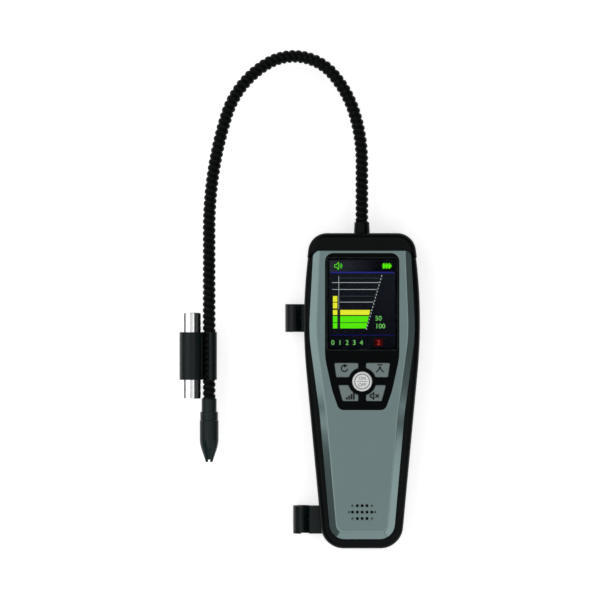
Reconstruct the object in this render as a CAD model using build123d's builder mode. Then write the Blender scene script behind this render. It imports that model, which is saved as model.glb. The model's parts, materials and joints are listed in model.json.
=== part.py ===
from build123d import *
import math
import os

# Handheld gas detector, lying on its back. +Z is the way the display faces, +Y runs
# towards the neck, and the origin is the middle of the back. All sizes in millimetres.
# "Height" means the distance from the bottom end of the case, along +Y.

# Case outline, seen from the front
case_length = 206.4
foot_half_width = 25.7
shoulder_half_width = 40.2
shoulder_height = 155.0
head_half_width = 33.5
foot_radius = 15.0
shoulder_radius = 350.0
head_radius = 12.0

# Case section
wall = 2.4
rear_depth = 17.0
front_depth = 13.3
back_radius = 5.0
rim_radius = 4.5
ledge_width = 2.0
ledge_thickness = 2.5
bezel_skirt = 4.1

# Clearances
fit_gap = 0.12
travel_gap = 0.3
bore_gap = 0.06

# Grey bezel: width of the black border left around it, and its own shape
border_bottom = 6.4
border_foot = 5.7
border_waist = 6.2
border_shoulder = 4.0
border_top = 3.0
waist_height = 88.0
bezel_shoulder_drop = 14.0
cap_reach = 11.4
bezel_foot_radius = 10.0
bezel_waist_radius = 180.0
bezel_shoulder_radius = 120.0
bezel_top_radius = 4.0
bevel_width = 4.5
bevel_rise = 2.3
bevel_edge_radius = 3.0
bezel_wall = 2.2

# Top cap
cap_step = 0.4
cap_rise = 2.3
cap_front_radius = 4.5
cap_seam_half_width = 31.0
cap_seam_slope = 0.86
cap_seam_radius = 6.0
cap_spigot_wall = 1.6
cap_spigot_reach = 4.0

# Face panel, display and window
panel_half_width = 24.4
panel_top_margin = 1.3
panel_taper_drop = 6.5
panel_knee_drop = 6.1
panel_knee_half_width = 19.7
panel_bottom_drop = 18.8
panel_bottom_half_width = 15.2
panel_top_radius = 5.6
panel_taper_radius = 45.0
panel_bottom_radius = 4.5
panel_recess = 1.2
panel_proud = 0.2
display_width = 43.2
display_length = 57.6
display_top_margin = 4.6
window_margin = 1.5
window_radius = 1.0
lcd_glass_thickness = 0.9
lcd_frame_wall = 0.5
lcd_border = 2.6
lcd_chin = 5.2
lcd_margin = 0.3
backlight_recess = 0.3

# Keys and power button
keypad_drop = 21.9
power_radius = 6.4
key_arc_radius = 9.2
key_gap_half = 2.6
upper_row = (2.9, 12.1)
upper_outer = (16.8, 18.2)
lower_row = (-12.7, -2.4)
lower_outer = (12.7, 15.5)
key_corner_radius = 0.8
key_proud = 0.7
power_proud = 1.1
power_ring_inset = 1.3
power_ring_width = 0.5
power_ring_depth = 0.15
key_flange = 0.9
key_flange_thickness = 1.3
key_travel = 0.6
key_edge = 0.3

# Speaker grille
grille_height = 24.2
grille_row_pitch = 4.2
grille_hole_pitch = 3.15
grille_hole_radius = 1.0
grille_counts = (3, 5, 3)
grille_groove_lengths = (15.0, 19.2, 15.0)
grille_groove_width = 2.5
grille_groove_depth = 0.4
grille_dimple_radius = 0.7
grille_dimple_depth = 0.5
grille_dimple_inset = 1.1
speaker_radius = 10.0
speaker_depth = 4.5
speaker_gasket_thickness = 0.6
speaker_gasket_width = 1.6

# Board and its bosses
board_thickness = 1.6
board_margin = 0.8
board_bottom_inset = 1.2
mat_thickness = 0.9
mat_margin = 1.2
dome_radius = 2.4
boss_radius = 2.2
screw_radius = 1.1
screw_head_radius = 2.1
screw_head_height = 1.7
board_screw_length = 4.6
board_boss_x = (28.2, 19.5)
board_boss_drop = 17.0
board_boss_inset = 5.0

# Case screws
case_screw_x = (31.6, 14.5)
case_screw_drop = 23.0
case_screw_foot_height = 10.5
case_boss_radius = 3.1
case_screw_head_radius = 2.5
case_screw_head_height = 2.0
case_screw_recess = 3.2
case_screw_length = 17.0

# Batteries
cell_radius = 7.1
cell_length = 49.5
cell_pip_radius = 2.7
cell_pip_length = 1.0
cell_pitch = 14.6
cell_count = 3
bay_wall = 1.6
bay_bottom_height = 34.0
bay_spare = 0.3
contact_thickness = 0.4
contact_spring_depth = 4.0
contact_width = 9.0
door_thickness = 2.1
door_lap = 0.9
door_recess = 0.3
door_ear_radius = 6.0
door_rib_count = 5
door_rib_pitch = 3.0
door_screw_inset = 1.5
door_screw_head_radius = 2.2
door_screw_head_height = 1.2
door_screw_length = 6.0
seal_width = 1.0
seal_depth = 0.8

# Gas path
neck_axis_height = 20.0
pipe_radius = 1.9
pipe_bore = 1.1
filter_radius = 4.0
filter_length = 18.0
filter_drop = 5.0
barb_radius = 1.0
barb_length = 4.0
gas_path_gap = 14.1
cell_tube_x = -12.0
cell_tube_z = 10.0
cell_tube_radius = 6.0
cell_tube_bore = 4.8
cell_saddle_inset = 14.0
cell_filter_gap = 8.0
cell_end_length = 6.0
cell_port_inset = 8.0
pump_x = 13.0
pump_width = 15.0
pump_length = 16.0
pump_depth = 13.2
motor_radius = 6.6
motor_length = 24.0
saddle_thickness = 2.0
saddle_width = 5.0

# Gland and gooseneck
gland_length = 7.2
gland_base_radius = 5.2
gland_tip_radius = 4.9
gland_stem_radius = 3.6
gland_nut_radius = 5.6
gland_nut_thickness = 3.0
neck_crest_radius = 4.05
neck_valley_radius = 3.5
neck_bore = 2.3
neck_pitch = 3.75
neck_seat = 3.0
neck_rise = 39.4
neck_arcs = ((109.0, 17.5), (72.0, 22.5), (34.1, 80.5), (60.0, 42.0), (250.0, 17.5))
neck_end_height = 98.3

# Probe
ferrule_radius = 4.95
ferrule_length = 8.9
ferrule_chamfer = 0.7
probe_radius = 5.85
probe_length = 5.3
probe_seam = 0.2
spigot_radius = 4.2
spigot_wall = 0.8
spigot_length = 12.5
probe_bore = 2.0
tip_radius = 6.2
tip_length = 27.4
tip_shoulder = 12.0
tip_flank_radius = 4.7
tip_flank_length = 7.2
tip_end_radius = 2.4
tip_bore = 1.0
tip_slot_width = 1.4
tip_slot_depth = 1.6
tip_wall = 1.6
filter_plug_length = 4.0
ring_section = 0.5
ring_place = 3.0

# Neck clip and inspection light
light_radius = 6.45
light_length = 56.3
light_end_height = 98.2
light_offset = 11.75
light_wall = 0.95
light_cell_radius = 5.2
light_cell_length = 44.0
lens_thickness = 1.6
lens_recess = 0.4
reflector_length = 4.0
led_radius = 1.6
tail_button_radius = 3.0
tail_button_travel = 0.8
tail_button_length = 3.4
tail_flange = 0.6
led_base = 1.2
light_edge = 0.3
clip_length = 31.3
clip_end_height = 110.5
clip_sleeve_wall = 1.25
clip_ring_wall = 0.8
clip_ring_gap = 0.3
clip_mouth = 4.6
clip_spur = 1.2

# Side clips, which hold an 8 mm neck when it is folded away
side_clip_length = 18.4
side_clip_bore = 4.2
side_clip_wall = 2.2
side_clip_z = 10.0
side_clip_mouth = 5.5
side_clip_rib = 0.5
side_clip_rib_width = 2.0
side_clip_foot = 2.0
side_clip_foot_depth = 9.0
upper_clip_height = 151.0
upper_clip_x = -44.0
lower_clip_height = 18.2
lower_clip_x = -38.8
peg_radius = 1.0
peg_head_radius = 2.0
peg_head_height = 1.2
peg_length = 3.4
peg_hole_spare = 6.0

# Heights that follow from the sizes above, from the top of the case down
bezel_top_height = case_length - cap_reach
bezel_shoulder_height = shoulder_height - bezel_shoulder_drop
panel_top_height = bezel_top_height - panel_top_margin
display_height = panel_top_height - display_top_margin - display_length / 2
display_foot_height = display_height - display_length / 2
panel_taper_height = display_foot_height - panel_taper_drop
keypad_height = display_foot_height - keypad_drop
panel_knee_height = keypad_height - panel_knee_drop
panel_bottom_height = keypad_height - panel_bottom_drop
board_bottom_height = panel_bottom_height + board_bottom_inset
board_boss_height = (bezel_top_height - board_boss_drop, board_bottom_height + board_boss_inset)
case_screw_height = (bezel_top_height - case_screw_drop, case_screw_foot_height)
filter_bottom_height = bezel_top_height - filter_drop - filter_length

# Levels that follow from the sizes above
bottom_end = -case_length / 2
rim_level = rear_depth + front_depth
bezel_skirt_level = rim_level - bezel_skirt
bevel_level = rim_level - 0.1
face_level = bevel_level + bevel_rise
bezel_inner_level = face_level - bezel_wall
panel_seat_level = face_level - panel_recess
panel_level = face_level + panel_proud
key_flange_level = bezel_inner_level - 0.1 - key_flange_thickness
mat_dome_level = key_flange_level - key_travel - 0.1
board_level = mat_dome_level - mat_thickness - 0.7
board_bottom_level = board_level - board_thickness
cap_level = rim_level + cap_rise
lcd_frame_level = bezel_inner_level - 0.05
lcd_centre_height = display_height - (lcd_chin - lcd_border) / 2
lcd_width = display_width + 2 * lcd_border
lcd_length = display_length + lcd_border + lcd_chin
window_width = display_width + 2 * window_margin
window_length = display_length + 2 * window_margin
shoulder_slope = (shoulder_half_width - foot_half_width) / shoulder_height
head_slope = (shoulder_half_width - head_half_width) / (case_length - shoulder_height)
cell_z = door_recess + door_thickness + cell_radius + bay_spare
bay_half_width = cell_pitch * (cell_count - 1) / 2 + cell_radius + bay_spare
bay_length = cell_length + cell_pip_length + contact_spring_depth + 2 * contact_thickness + 0.6
bay_level = cell_z + cell_radius + bay_spare
bay_top_height = bay_bottom_height + bay_length
cell_tube_bottom_height = bay_top_height + gas_path_gap
cell_tube_length = filter_bottom_height - cell_filter_gap - cell_tube_bottom_height
pump_bottom_height = bay_top_height + gas_path_gap

# The bend at the shoulders, no larger than the straight side above it leaves room for
shoulder_turn = math.atan(shoulder_slope) + math.atan(head_slope)
shoulder_room = (case_length - shoulder_height - head_radius) / math.tan(shoulder_turn / 2)
shoulder_bend = min(shoulder_radius, shoulder_room)


def side_x(height):
    """Half-width of the case's straight sides at a height, before their bend is rounded."""
    if height < shoulder_height:
        return foot_half_width + shoulder_slope * height
    return shoulder_half_width - head_slope * (height - shoulder_height)


def level(z):
    """A plane level with the back, whose origin is the bottom end of the case."""
    return Plane(origin=(0, bottom_end, z), x_dir=(1, 0, 0), z_dir=(0, 0, 1))


def turning_plane(x, z):
    """A plane through a lengthwise axis: its x is the radius and its y is the height."""
    return Plane(origin=(x, bottom_end, z), x_dir=(1, 0, 0), z_dir=(0, 0, 1))


def lengthwise(x, z):
    """The axis along +Y through x and z."""
    return Axis((x, 0, z), (0, 1, 0))


def upright_plane(height):
    """A plane across the object at a height, its x along +X and its y along +Z."""
    return Plane(origin=(0, bottom_end + height, 0), x_dir=(1, 0, 0), z_dir=(0, -1, 0))


def finish(piece, name):
    """Label a finished piece and write it."""
    piece.part.label = name
    export_step(piece.part, "parts/" + name + ".step")


def turned_profile(*points):
    """A closed profile of radius and height pairs, to be turned about a lengthwise axis."""
    with BuildSketch(mode=Mode.PRIVATE) as profile:
        with BuildLine():
            Polyline(*points, close=True)
        make_face()
    return profile.sketch


os.makedirs("parts", exist_ok=True)

# Outlines that several pieces share
with BuildSketch() as case_outline:
    with BuildLine():
        FilletPolyline(
            (-foot_half_width, 0),
            (foot_half_width, 0),
            (shoulder_half_width, shoulder_height),
            (head_half_width, case_length),
            (-head_half_width, case_length),
            (-shoulder_half_width, shoulder_height),
            radius=(foot_radius, foot_radius, shoulder_bend, head_radius, head_radius,
                    shoulder_bend),
            close=True,
        )
    make_face()


def case_half_width(height):
    """Half-width of the rounded case outline at a height."""
    with BuildSketch(mode=Mode.PRIVATE) as strip:
        with Locations((0, height)):
            Rectangle(4 * shoulder_half_width, 0.1)
        add(case_outline.sketch, mode=Mode.INTERSECT)
    return strip.sketch.bounding_box().max.X


def bezel_outline(top, top_radius):
    """The grey bezel's outline, which keeps its border inside the case's sides."""
    foot_x = side_x(border_bottom) - border_foot
    waist_x = side_x(waist_height) - border_waist
    shoulder_x = side_x(bezel_shoulder_height) - border_shoulder
    top_x = side_x(bezel_top_height) - border_top
    right = [
        (foot_x, border_bottom),
        (waist_x, waist_height),
        (shoulder_x, bezel_shoulder_height),
        (top_x, top),
    ]
    left = [(-x, y) for x, y in reversed(right)]
    radii = [bezel_foot_radius, bezel_waist_radius, bezel_shoulder_radius, top_radius]
    with BuildSketch(mode=Mode.PRIVATE) as outline:
        with BuildLine():
            FilletPolyline(*right, *left, radius=radii + radii[::-1], close=True)
        make_face()
    return outline.sketch


bezel_shape = bezel_outline(bezel_top_height, bezel_top_radius)
bezel_long_shape = bezel_outline(bezel_top_height + 3 * bevel_width, bezel_top_radius)

with BuildSketch() as panel_outline:
    with BuildLine():
        right_points = [
            (panel_bottom_half_width, panel_bottom_height),
            (panel_knee_half_width, panel_knee_height),
            (panel_half_width, panel_taper_height),
            (panel_half_width, panel_top_height),
        ]
        corner_radii = [
            panel_bottom_radius, panel_taper_radius, panel_taper_radius, panel_top_radius,
        ]
        FilletPolyline(
            *right_points,
            *[(-x, y) for x, y in reversed(right_points)],
            radius=corner_radii + corner_radii[::-1],
            close=True,
        )
    make_face()

# Everything above the seam, on which the case and the top cap meet
with BuildSketch() as cap_region:
    seam_reach = 2 * shoulder_half_width
    seam_drop = (seam_reach - cap_seam_half_width) * cap_seam_slope
    with BuildLine():
        FilletPolyline(
            (-seam_reach, bezel_top_height - seam_drop),
            (-cap_seam_half_width, bezel_top_height),
            (cap_seam_half_width, bezel_top_height),
            (seam_reach, bezel_top_height - seam_drop),
            radius=cap_seam_radius,
        )
        Polyline(
            (seam_reach, bezel_top_height - seam_drop),
            (seam_reach, case_length + seam_reach),
            (-seam_reach, case_length + seam_reach),
            (-seam_reach, bezel_top_height - seam_drop),
        )
    make_face()


def key_shape(side, row, outer, grow=0.0):
    """A keycap's outline: a block whose inner corner is cut back around the power button."""
    low, high = row
    outer_low, outer_high = outer
    with BuildSketch(mode=Mode.PRIVATE) as key:
        with BuildLine():
            Polyline(
                (side * key_gap_half, keypad_height + low),
                (side * outer_low, keypad_height + low),
                (side * outer_high, keypad_height + high),
                (side * key_gap_half, keypad_height + high),
                close=True,
            )
        make_face()
        with Locations((0, keypad_height)):
            Circle(key_arc_radius, mode=Mode.SUBTRACT)
        fillet(key.vertices(), radius=key_corner_radius)
        if grow:
            offset(amount=grow)
    return key.sketch


key_places = {
    "key_upper_left": (-1, upper_row, upper_outer),
    "key_upper_right": (1, upper_row, upper_outer),
    "key_lower_left": (-1, lower_row, lower_outer),
    "key_lower_right": (1, lower_row, lower_outer),
}
board_boss_places = [
    (side * x, height) for x, height in zip(board_boss_x, board_boss_height) for side in (-1, 1)
]
case_screw_places = [
    (side * x, height) for x, height in zip(case_screw_x, case_screw_height) for side in (-1, 1)
]
side_clip_places = {
    "upper_side_clip": (upper_clip_x, upper_clip_height),
    "lower_side_clip": (lower_clip_x, lower_clip_height),
}

# Centre of the wall all round, below the seam: the groove for the rubber seal
with BuildSketch(mode=Mode.PRIVATE) as seal_inside:
    add(case_outline.sketch)
    offset(amount=-wall / 2 - seal_width / 2)
with BuildSketch(mode=Mode.PRIVATE) as seal_ring:
    add(case_outline.sketch)
    offset(amount=-wall / 2 + seal_width / 2)
    add(seal_inside.sketch, mode=Mode.SUBTRACT)
    add(cap_region.sketch, mode=Mode.SUBTRACT)


def side_plane_at(x, height):
    """A plane across the object's width at a side clip's axis, facing the case."""
    return Plane(origin=(x, bottom_end + height, side_clip_z), x_dir=(0, 1, 0), z_dir=(1, 0, 0))


# Outer form of the case, from the back to its rounded front rim
with BuildPart() as case_form:
    with BuildSketch(level(0)):
        add(case_outline.sketch)
    extrude(amount=rim_level)
    fillet(case_form.faces().sort_by(Axis.Z)[0].edges(), radius=back_radius)
    fillet(case_form.faces().sort_by(Axis.Z)[-1].edges(), radius=rim_radius)

# Rear case: a tub with the battery bay, screw bosses and saddles for the gas path
with BuildPart() as rear_case:
    add(case_form.part)
    split(bisect_by=Plane.XY.offset(rear_depth), keep=Keep.BOTTOM)
    with BuildSketch(level(wall)):
        add(case_outline.sketch)
        offset(amount=-wall)
    extrude(amount=rear_depth, mode=Mode.SUBTRACT)
    fillet(
        rear_case.edges().filter_by_position(Axis.Z, wall - 0.01, wall + 0.01),
        radius=back_radius - wall,
    )
    with BuildSketch(level(wall)):
        with Locations((0, bay_bottom_height - bay_wall)):
            Rectangle(
                2 * (bay_half_width + bay_wall),
                bay_length + 2 * bay_wall,
                align=(Align.CENTER, Align.MIN),
            )
    extrude(amount=bay_level + bay_wall - wall)
    with BuildSketch(level(wall)):
        with Locations((0, bay_top_height)):
            Circle(door_ear_radius + door_lap)
    extrude(amount=bay_wall)
    with BuildSketch(level(wall)):
        with Locations((0, bay_top_height + door_lap + door_screw_inset)):
            Circle(case_boss_radius)
    extrude(amount=door_screw_length)
    with BuildSketch(level(door_recess + door_thickness)):
        with Locations((0, bay_bottom_height)):
            Rectangle(2 * bay_half_width, bay_length, align=(Align.CENTER, Align.MIN))
    extrude(amount=bay_level - door_recess - door_thickness, mode=Mode.SUBTRACT)
    with BuildSketch(level(wall)):
        with Locations(case_screw_places):
            Circle(case_boss_radius)
    extrude(amount=rear_depth - wall)
    with BuildSketch(level(wall)):
        for saddle_place in (cell_saddle_inset, cell_tube_length - cell_saddle_inset):
            with Locations((cell_tube_x, cell_tube_bottom_height + saddle_place)):
                Rectangle(2 * cell_tube_radius + saddle_width, saddle_thickness)
    extrude(amount=cell_tube_z - wall)
    with BuildSketch(level(wall)):
        with Locations((pump_x, pump_bottom_height + pump_length + motor_length / 2)):
            Rectangle(2 * motor_radius + saddle_width, saddle_thickness)
    extrude(amount=pump_depth / 2)
    with BuildSketch(level(wall)):
        with Locations((0, filter_bottom_height + filter_length / 2)):
            Rectangle(2 * filter_radius + saddle_width, saddle_thickness)
    extrude(amount=neck_axis_height - wall)
    with BuildSketch(upright_plane(cell_tube_bottom_height)):
        with Locations((cell_tube_x, cell_tube_z)):
            Circle(cell_tube_radius + fit_gap)
    extrude(amount=-cell_tube_length, mode=Mode.SUBTRACT)
    with BuildSketch(upright_plane(pump_bottom_height + pump_length)):
        with Locations((pump_x, wall + pump_depth / 2)):
            Circle(motor_radius + fit_gap)
    extrude(amount=-motor_length, mode=Mode.SUBTRACT)
    with BuildSketch(upright_plane(filter_bottom_height)):
        with Locations((0, neck_axis_height)):
            Circle(filter_radius + fit_gap)
    extrude(amount=-filter_length, mode=Mode.SUBTRACT)
    # Door opening, with its two tab slots and the screw ear
    with BuildSketch(level(0)):
        with Locations((0, bay_bottom_height - door_lap)):
            Rectangle(
                2 * (bay_half_width + door_lap),
                bay_length + 2 * door_lap,
                align=(Align.CENTER, Align.MIN),
            )
        with Locations((0, bay_top_height)):
            Circle(door_ear_radius)
    extrude(amount=door_recess + door_thickness, mode=Mode.SUBTRACT)
    with BuildSketch(level(0)):
        with Locations((0, bay_top_height + door_lap + door_screw_inset)):
            Circle(screw_radius + bore_gap)
    extrude(amount=wall + door_screw_length - 0.8, mode=Mode.SUBTRACT)
    with BuildSketch(level(rear_depth - seal_depth)):
        add(seal_ring.sketch)
    extrude(amount=seal_depth, mode=Mode.SUBTRACT)
    # Peg holes for the side clips
    for x, height in side_clip_places.values():
        with BuildSketch(side_plane_at(x, height)):
            Circle(peg_radius + bore_gap)
        extrude(amount=2 * side_clip_wall + 2 * wall + peg_hole_spare, mode=Mode.SUBTRACT)
    # Screw holes from the back
    with Locations([Location((x, bottom_end + y, 0), (180, 0, 0)) for x, y in case_screw_places]):
        CounterBoreHole(
            radius=screw_radius + bore_gap,
            counter_bore_radius=case_screw_head_radius + fit_gap,
            counter_bore_depth=case_screw_recess,
            depth=rear_depth,
        )
    with BuildSketch(level(0)):
        add(cap_region.sketch)
    extrude(amount=2 * rim_level, mode=Mode.SUBTRACT)
finish(rear_case, "rear_case")

# Front case: a ring with a rounded rim, a ledge for the bezel and bosses for the screws
with BuildPart() as front_case:
    add(case_form.part)
    split(bisect_by=Plane.XY.offset(rear_depth), keep=Keep.TOP)
    with BuildSketch(level(rear_depth)):
        add(case_outline.sketch)
        offset(amount=-wall)
    extrude(
        amount=bezel_skirt_level - ledge_thickness - rear_depth,
        mode=Mode.SUBTRACT,
    )
    with BuildSketch(level(rear_depth)):
        add(bezel_shape)
        offset(amount=-ledge_width)
    extrude(amount=front_depth, mode=Mode.SUBTRACT)
    with BuildSketch(level(bezel_skirt_level)):
        add(bezel_long_shape)
        offset(amount=fit_gap)
    extrude(amount=front_depth, mode=Mode.SUBTRACT)
    with BuildSketch(level(rear_depth)):
        with Locations(case_screw_places):
            Circle(case_boss_radius)
    extrude(amount=board_bottom_level - travel_gap - rear_depth)
    with BuildSketch(level(rear_depth)):
        with Locations(case_screw_places):
            Circle(screw_radius + bore_gap)
    extrude(amount=case_screw_recess + case_screw_length + 0.3 - rear_depth, mode=Mode.SUBTRACT)
    with BuildSketch(level(0)):
        add(cap_region.sketch)
    extrude(amount=2 * rim_level, mode=Mode.SUBTRACT)
finish(front_case, "front_case")

# Grey bezel: a bevelled cover with the panel recess, the key holes and the grille
with BuildPart() as front_bezel:
    with BuildSketch(level(bezel_skirt_level)):
        add(bezel_long_shape)
    extrude(amount=bevel_level - bezel_skirt_level)
    with BuildSketch(level(bevel_level)):
        add(bezel_long_shape)
    extrude(amount=bevel_rise, taper=math.degrees(math.atan2(bevel_width, bevel_rise)))
    fillet(front_bezel.faces().sort_by(Axis.Z)[-1].edges(), radius=bevel_edge_radius)
    with BuildSketch(level(bezel_skirt_level)):
        add(bezel_shape)
    extrude(amount=2 * front_depth, mode=Mode.INTERSECT)
    with BuildSketch(level(bezel_skirt_level)):
        add(bezel_shape)
        offset(amount=-bezel_wall)
    extrude(amount=bezel_inner_level - bezel_skirt_level, mode=Mode.SUBTRACT)
    with BuildSketch(level(board_level)):
        with Locations(board_boss_places):
            Circle(boss_radius)
    extrude(amount=bezel_inner_level - board_level)
    with BuildSketch(level(board_level)):
        with Locations(board_boss_places):
            Circle(screw_radius + bore_gap)
    extrude(amount=board_screw_length - board_thickness + 0.3, mode=Mode.SUBTRACT)
    with BuildSketch(level(panel_seat_level)):
        add(panel_outline.sketch)
    extrude(amount=bevel_rise, mode=Mode.SUBTRACT)
    with BuildSketch(level(bezel_inner_level)):
        with Locations((0, display_height)):
            RectangleRounded(window_width - 1, window_length - 1, window_radius)
        with Locations((0, keypad_height)):
            Circle(power_radius + travel_gap)
        for side, row, outer in key_places.values():
            add(key_shape(side, row, outer, travel_gap))
    extrude(amount=bezel_wall, mode=Mode.SUBTRACT)
    row_offsets = [grille_row_pitch * (1 - k) for k in range(len(grille_counts))]
    with BuildSketch(level(face_level - grille_groove_depth)):
        for length, rise in zip(grille_groove_lengths, row_offsets):
            with Locations((0, grille_height + rise)):
                SlotOverall(length, grille_groove_width)
    extrude(amount=2 * grille_groove_depth, mode=Mode.SUBTRACT)
    with BuildSketch(level(face_level - grille_groove_depth - grille_dimple_depth)):
        for length, rise in zip(grille_groove_lengths, row_offsets):
            with Locations((0, grille_height + rise)):
                with GridLocations(length - 2 * grille_dimple_inset, 1, 2, 1):
                    Circle(grille_dimple_radius)
    extrude(amount=grille_dimple_depth, mode=Mode.SUBTRACT)
    with BuildSketch(level(bezel_inner_level)):
        for count, rise in zip(grille_counts, row_offsets):
            with Locations((0, grille_height + rise)):
                with GridLocations(grille_hole_pitch, 1, count, 1):
                    Circle(grille_hole_radius)
    extrude(amount=bezel_wall, mode=Mode.SUBTRACT)
finish(front_bezel, "front_bezel")

# Top cap: closes the head of the case, with a spigot inside it and the hole for the gland
with BuildPart() as top_cap:
    with BuildSketch(level(0)):
        add(case_outline.sketch)
        offset(amount=cap_step)
    extrude(amount=cap_level)
    fillet(top_cap.faces().sort_by(Axis.Z)[0].edges(), radius=back_radius)
    fillet(top_cap.faces().sort_by(Axis.Z)[-1].edges(), radius=cap_front_radius)
    with BuildSketch(level(0)):
        add(cap_region.sketch)
    extrude(amount=2 * rim_level, mode=Mode.INTERSECT)
    with BuildSketch(level(wall)):
        add(case_outline.sketch)
        offset(amount=-wall)
    extrude(amount=rim_level - wall - 1, mode=Mode.SUBTRACT)
    # Spigot: a U-shaped collar that reaches down into the rear case
    with BuildSketch(level(wall + back_radius)):
        with Locations((0, bezel_top_height - cap_spigot_reach)):
            Rectangle(
                2 * cap_seam_half_width,
                cap_spigot_reach + case_length - bezel_top_height - 2 * wall,
                align=(Align.CENTER, Align.MIN),
            )
        with Locations((0, bezel_top_height - 2 * cap_spigot_reach)):
            Rectangle(
                2 * (cap_seam_half_width - cap_spigot_wall),
                3 * case_length,
                align=(Align.CENTER, Align.MIN),
                mode=Mode.SUBTRACT,
            )
    extrude(amount=rear_depth - wall - back_radius - seal_depth)
    with BuildSketch(upright_plane(case_length - 2 * wall)):
        with Locations((0, neck_axis_height)):
            Circle(gland_stem_radius + bore_gap)
    extrude(amount=-4 * wall, mode=Mode.SUBTRACT)
finish(top_cap, "top_cap")

# Face panel: a gloss black plate in the bezel's recess, open at the window and the keys
with BuildPart() as face_panel:
    with BuildSketch(level(panel_seat_level)):
        add(panel_outline.sketch)
        offset(amount=-fit_gap)
    extrude(amount=panel_level - panel_seat_level)
    chamfer(face_panel.faces().sort_by(Axis.Z)[-1].edges(), length=panel_proud)
    with BuildSketch(level(panel_seat_level)):
        with Locations((0, display_height)):
            RectangleRounded(window_width, window_length, window_radius)
        with Locations((0, keypad_height)):
            Circle(power_radius + travel_gap)
        for side, row, outer in key_places.values():
            add(key_shape(side, row, outer, travel_gap))
    extrude(amount=2 * panel_recess, mode=Mode.SUBTRACT)
finish(face_panel, "face_panel")

with BuildPart() as display_window:
    with BuildSketch(level(panel_seat_level)):
        with Locations((0, display_height)):
            RectangleRounded(window_width - fit_gap, window_length - fit_gap, window_radius)
    extrude(amount=panel_level - panel_seat_level)
finish(display_window, "display_window")

# Display: glass and backlight in a pressed steel tray on the board
with BuildPart() as lcd_frame:
    with BuildSketch(level(board_level)):
        with Locations((0, lcd_centre_height)):
            Rectangle(lcd_width, lcd_length)
    extrude(amount=lcd_frame_level - board_level)
    fillet(lcd_frame.edges().filter_by(Axis.Z), radius=window_radius)
    with BuildSketch(level(board_level + lcd_frame_wall)):
        with Locations((0, lcd_centre_height)):
            Rectangle(lcd_width - 2 * lcd_frame_wall, lcd_length - 2 * lcd_frame_wall)
    extrude(amount=lcd_frame_level - board_level - 2 * lcd_frame_wall, mode=Mode.SUBTRACT)
    with BuildSketch(level(board_level + lcd_frame_wall)):
        with Locations((0, display_height)):
            Rectangle(display_width + 2 * lcd_margin, display_length + 2 * lcd_margin)
    extrude(amount=front_depth, mode=Mode.SUBTRACT)
finish(lcd_frame, "lcd_frame")

lcd_inner_width = lcd_width - 2 * lcd_frame_wall - 2 * fit_gap
lcd_inner_length = lcd_length - 2 * lcd_frame_wall - 2 * fit_gap
lcd_glass_level = lcd_frame_level - lcd_frame_wall - lcd_glass_thickness
with BuildPart() as lcd_glass:
    with BuildSketch(level(lcd_glass_level)):
        with Locations((0, lcd_centre_height)):
            Rectangle(lcd_inner_width, lcd_inner_length)
    extrude(amount=lcd_glass_thickness)
finish(lcd_glass, "lcd_glass")

with BuildPart() as lcd_backlight:
    with BuildSketch(level(board_level + lcd_frame_wall)):
        with Locations((0, lcd_centre_height)):
            Rectangle(lcd_inner_width, lcd_inner_length)
    extrude(amount=lcd_glass_level - board_level - lcd_frame_wall)
    with BuildSketch(level(lcd_glass_level - backlight_recess)):
        with Locations((0, display_height)):
            Rectangle(display_width, display_length)
    extrude(amount=backlight_recess, mode=Mode.SUBTRACT)
finish(lcd_backlight, "lcd_backlight")

# Keys: a flange under the bezel stops each one, and its crown stands out of the panel
for name, (side, row, outer) in key_places.items():
    with BuildPart() as keycap:
        with BuildSketch(level(key_flange_level)):
            add(key_shape(side, row, outer))
        extrude(amount=panel_level + key_proud - key_flange_level)
        chamfer(keycap.faces().sort_by(Axis.Z)[-1].edges(), length=key_edge)
        with BuildSketch(level(key_flange_level)):
            add(key_shape(side, row, outer, key_flange))
        extrude(amount=key_flange_thickness)
    finish(keycap, name)

with BuildPart() as power_button:
    with BuildSketch(level(key_flange_level)):
        with Locations((0, keypad_height)):
            Circle(power_radius + key_flange)
    extrude(amount=key_flange_thickness)
    with BuildSketch(level(key_flange_level)):
        with Locations((0, keypad_height)):
            Circle(power_radius)
    extrude(amount=panel_level + power_proud - key_flange_level)
    fillet(power_button.faces().sort_by(Axis.Z)[-1].edges(), radius=2 * key_edge)
    with BuildSketch(level(panel_level + power_proud - power_ring_depth)):
        with Locations((0, keypad_height)):
            Circle(power_radius - power_ring_inset)
            Circle(power_radius - power_ring_inset - power_ring_width, mode=Mode.SUBTRACT)
    extrude(amount=power_ring_depth, mode=Mode.SUBTRACT)
finish(power_button, "power_button")

# Silicone mat with one dome under each key
key_centres = [(0, 0)] + [
    (side * (key_gap_half + outer[0]) / 2, sum(row) / 2)
    for side, row, outer in key_places.values()
]
with BuildPart() as keypad_mat:
    with BuildSketch(level(board_level)):
        add(panel_outline.sketch)
        offset(amount=-mat_margin)
        with Locations((0, display_height)):
            Rectangle(
                3 * panel_half_width,
                2 * (display_height - lcd_centre_height) + lcd_length + 1,
                mode=Mode.SUBTRACT,
            )
    extrude(amount=mat_thickness)
    with BuildSketch(level(board_level + mat_thickness)):
        with Locations([(x, keypad_height + y) for x, y in key_centres]):
            Circle(dome_radius)
    extrude(amount=mat_dome_level - board_level - mat_thickness, taper=30)
finish(keypad_mat, "keypad_mat")

with BuildPart() as main_board:
    with BuildSketch(level(board_bottom_level)):
        add(bezel_shape)
        offset(amount=-ledge_width - board_margin)
        with Locations((0, board_bottom_height)):
            Rectangle(
                4 * panel_half_width,
                board_bottom_height,
                align=(Align.CENTER, Align.MAX),
                mode=Mode.SUBTRACT,
            )
        with Locations(board_boss_places):
            Circle(screw_radius + 0.3, mode=Mode.SUBTRACT)
    extrude(amount=board_thickness)
finish(main_board, "main_board")

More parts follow.
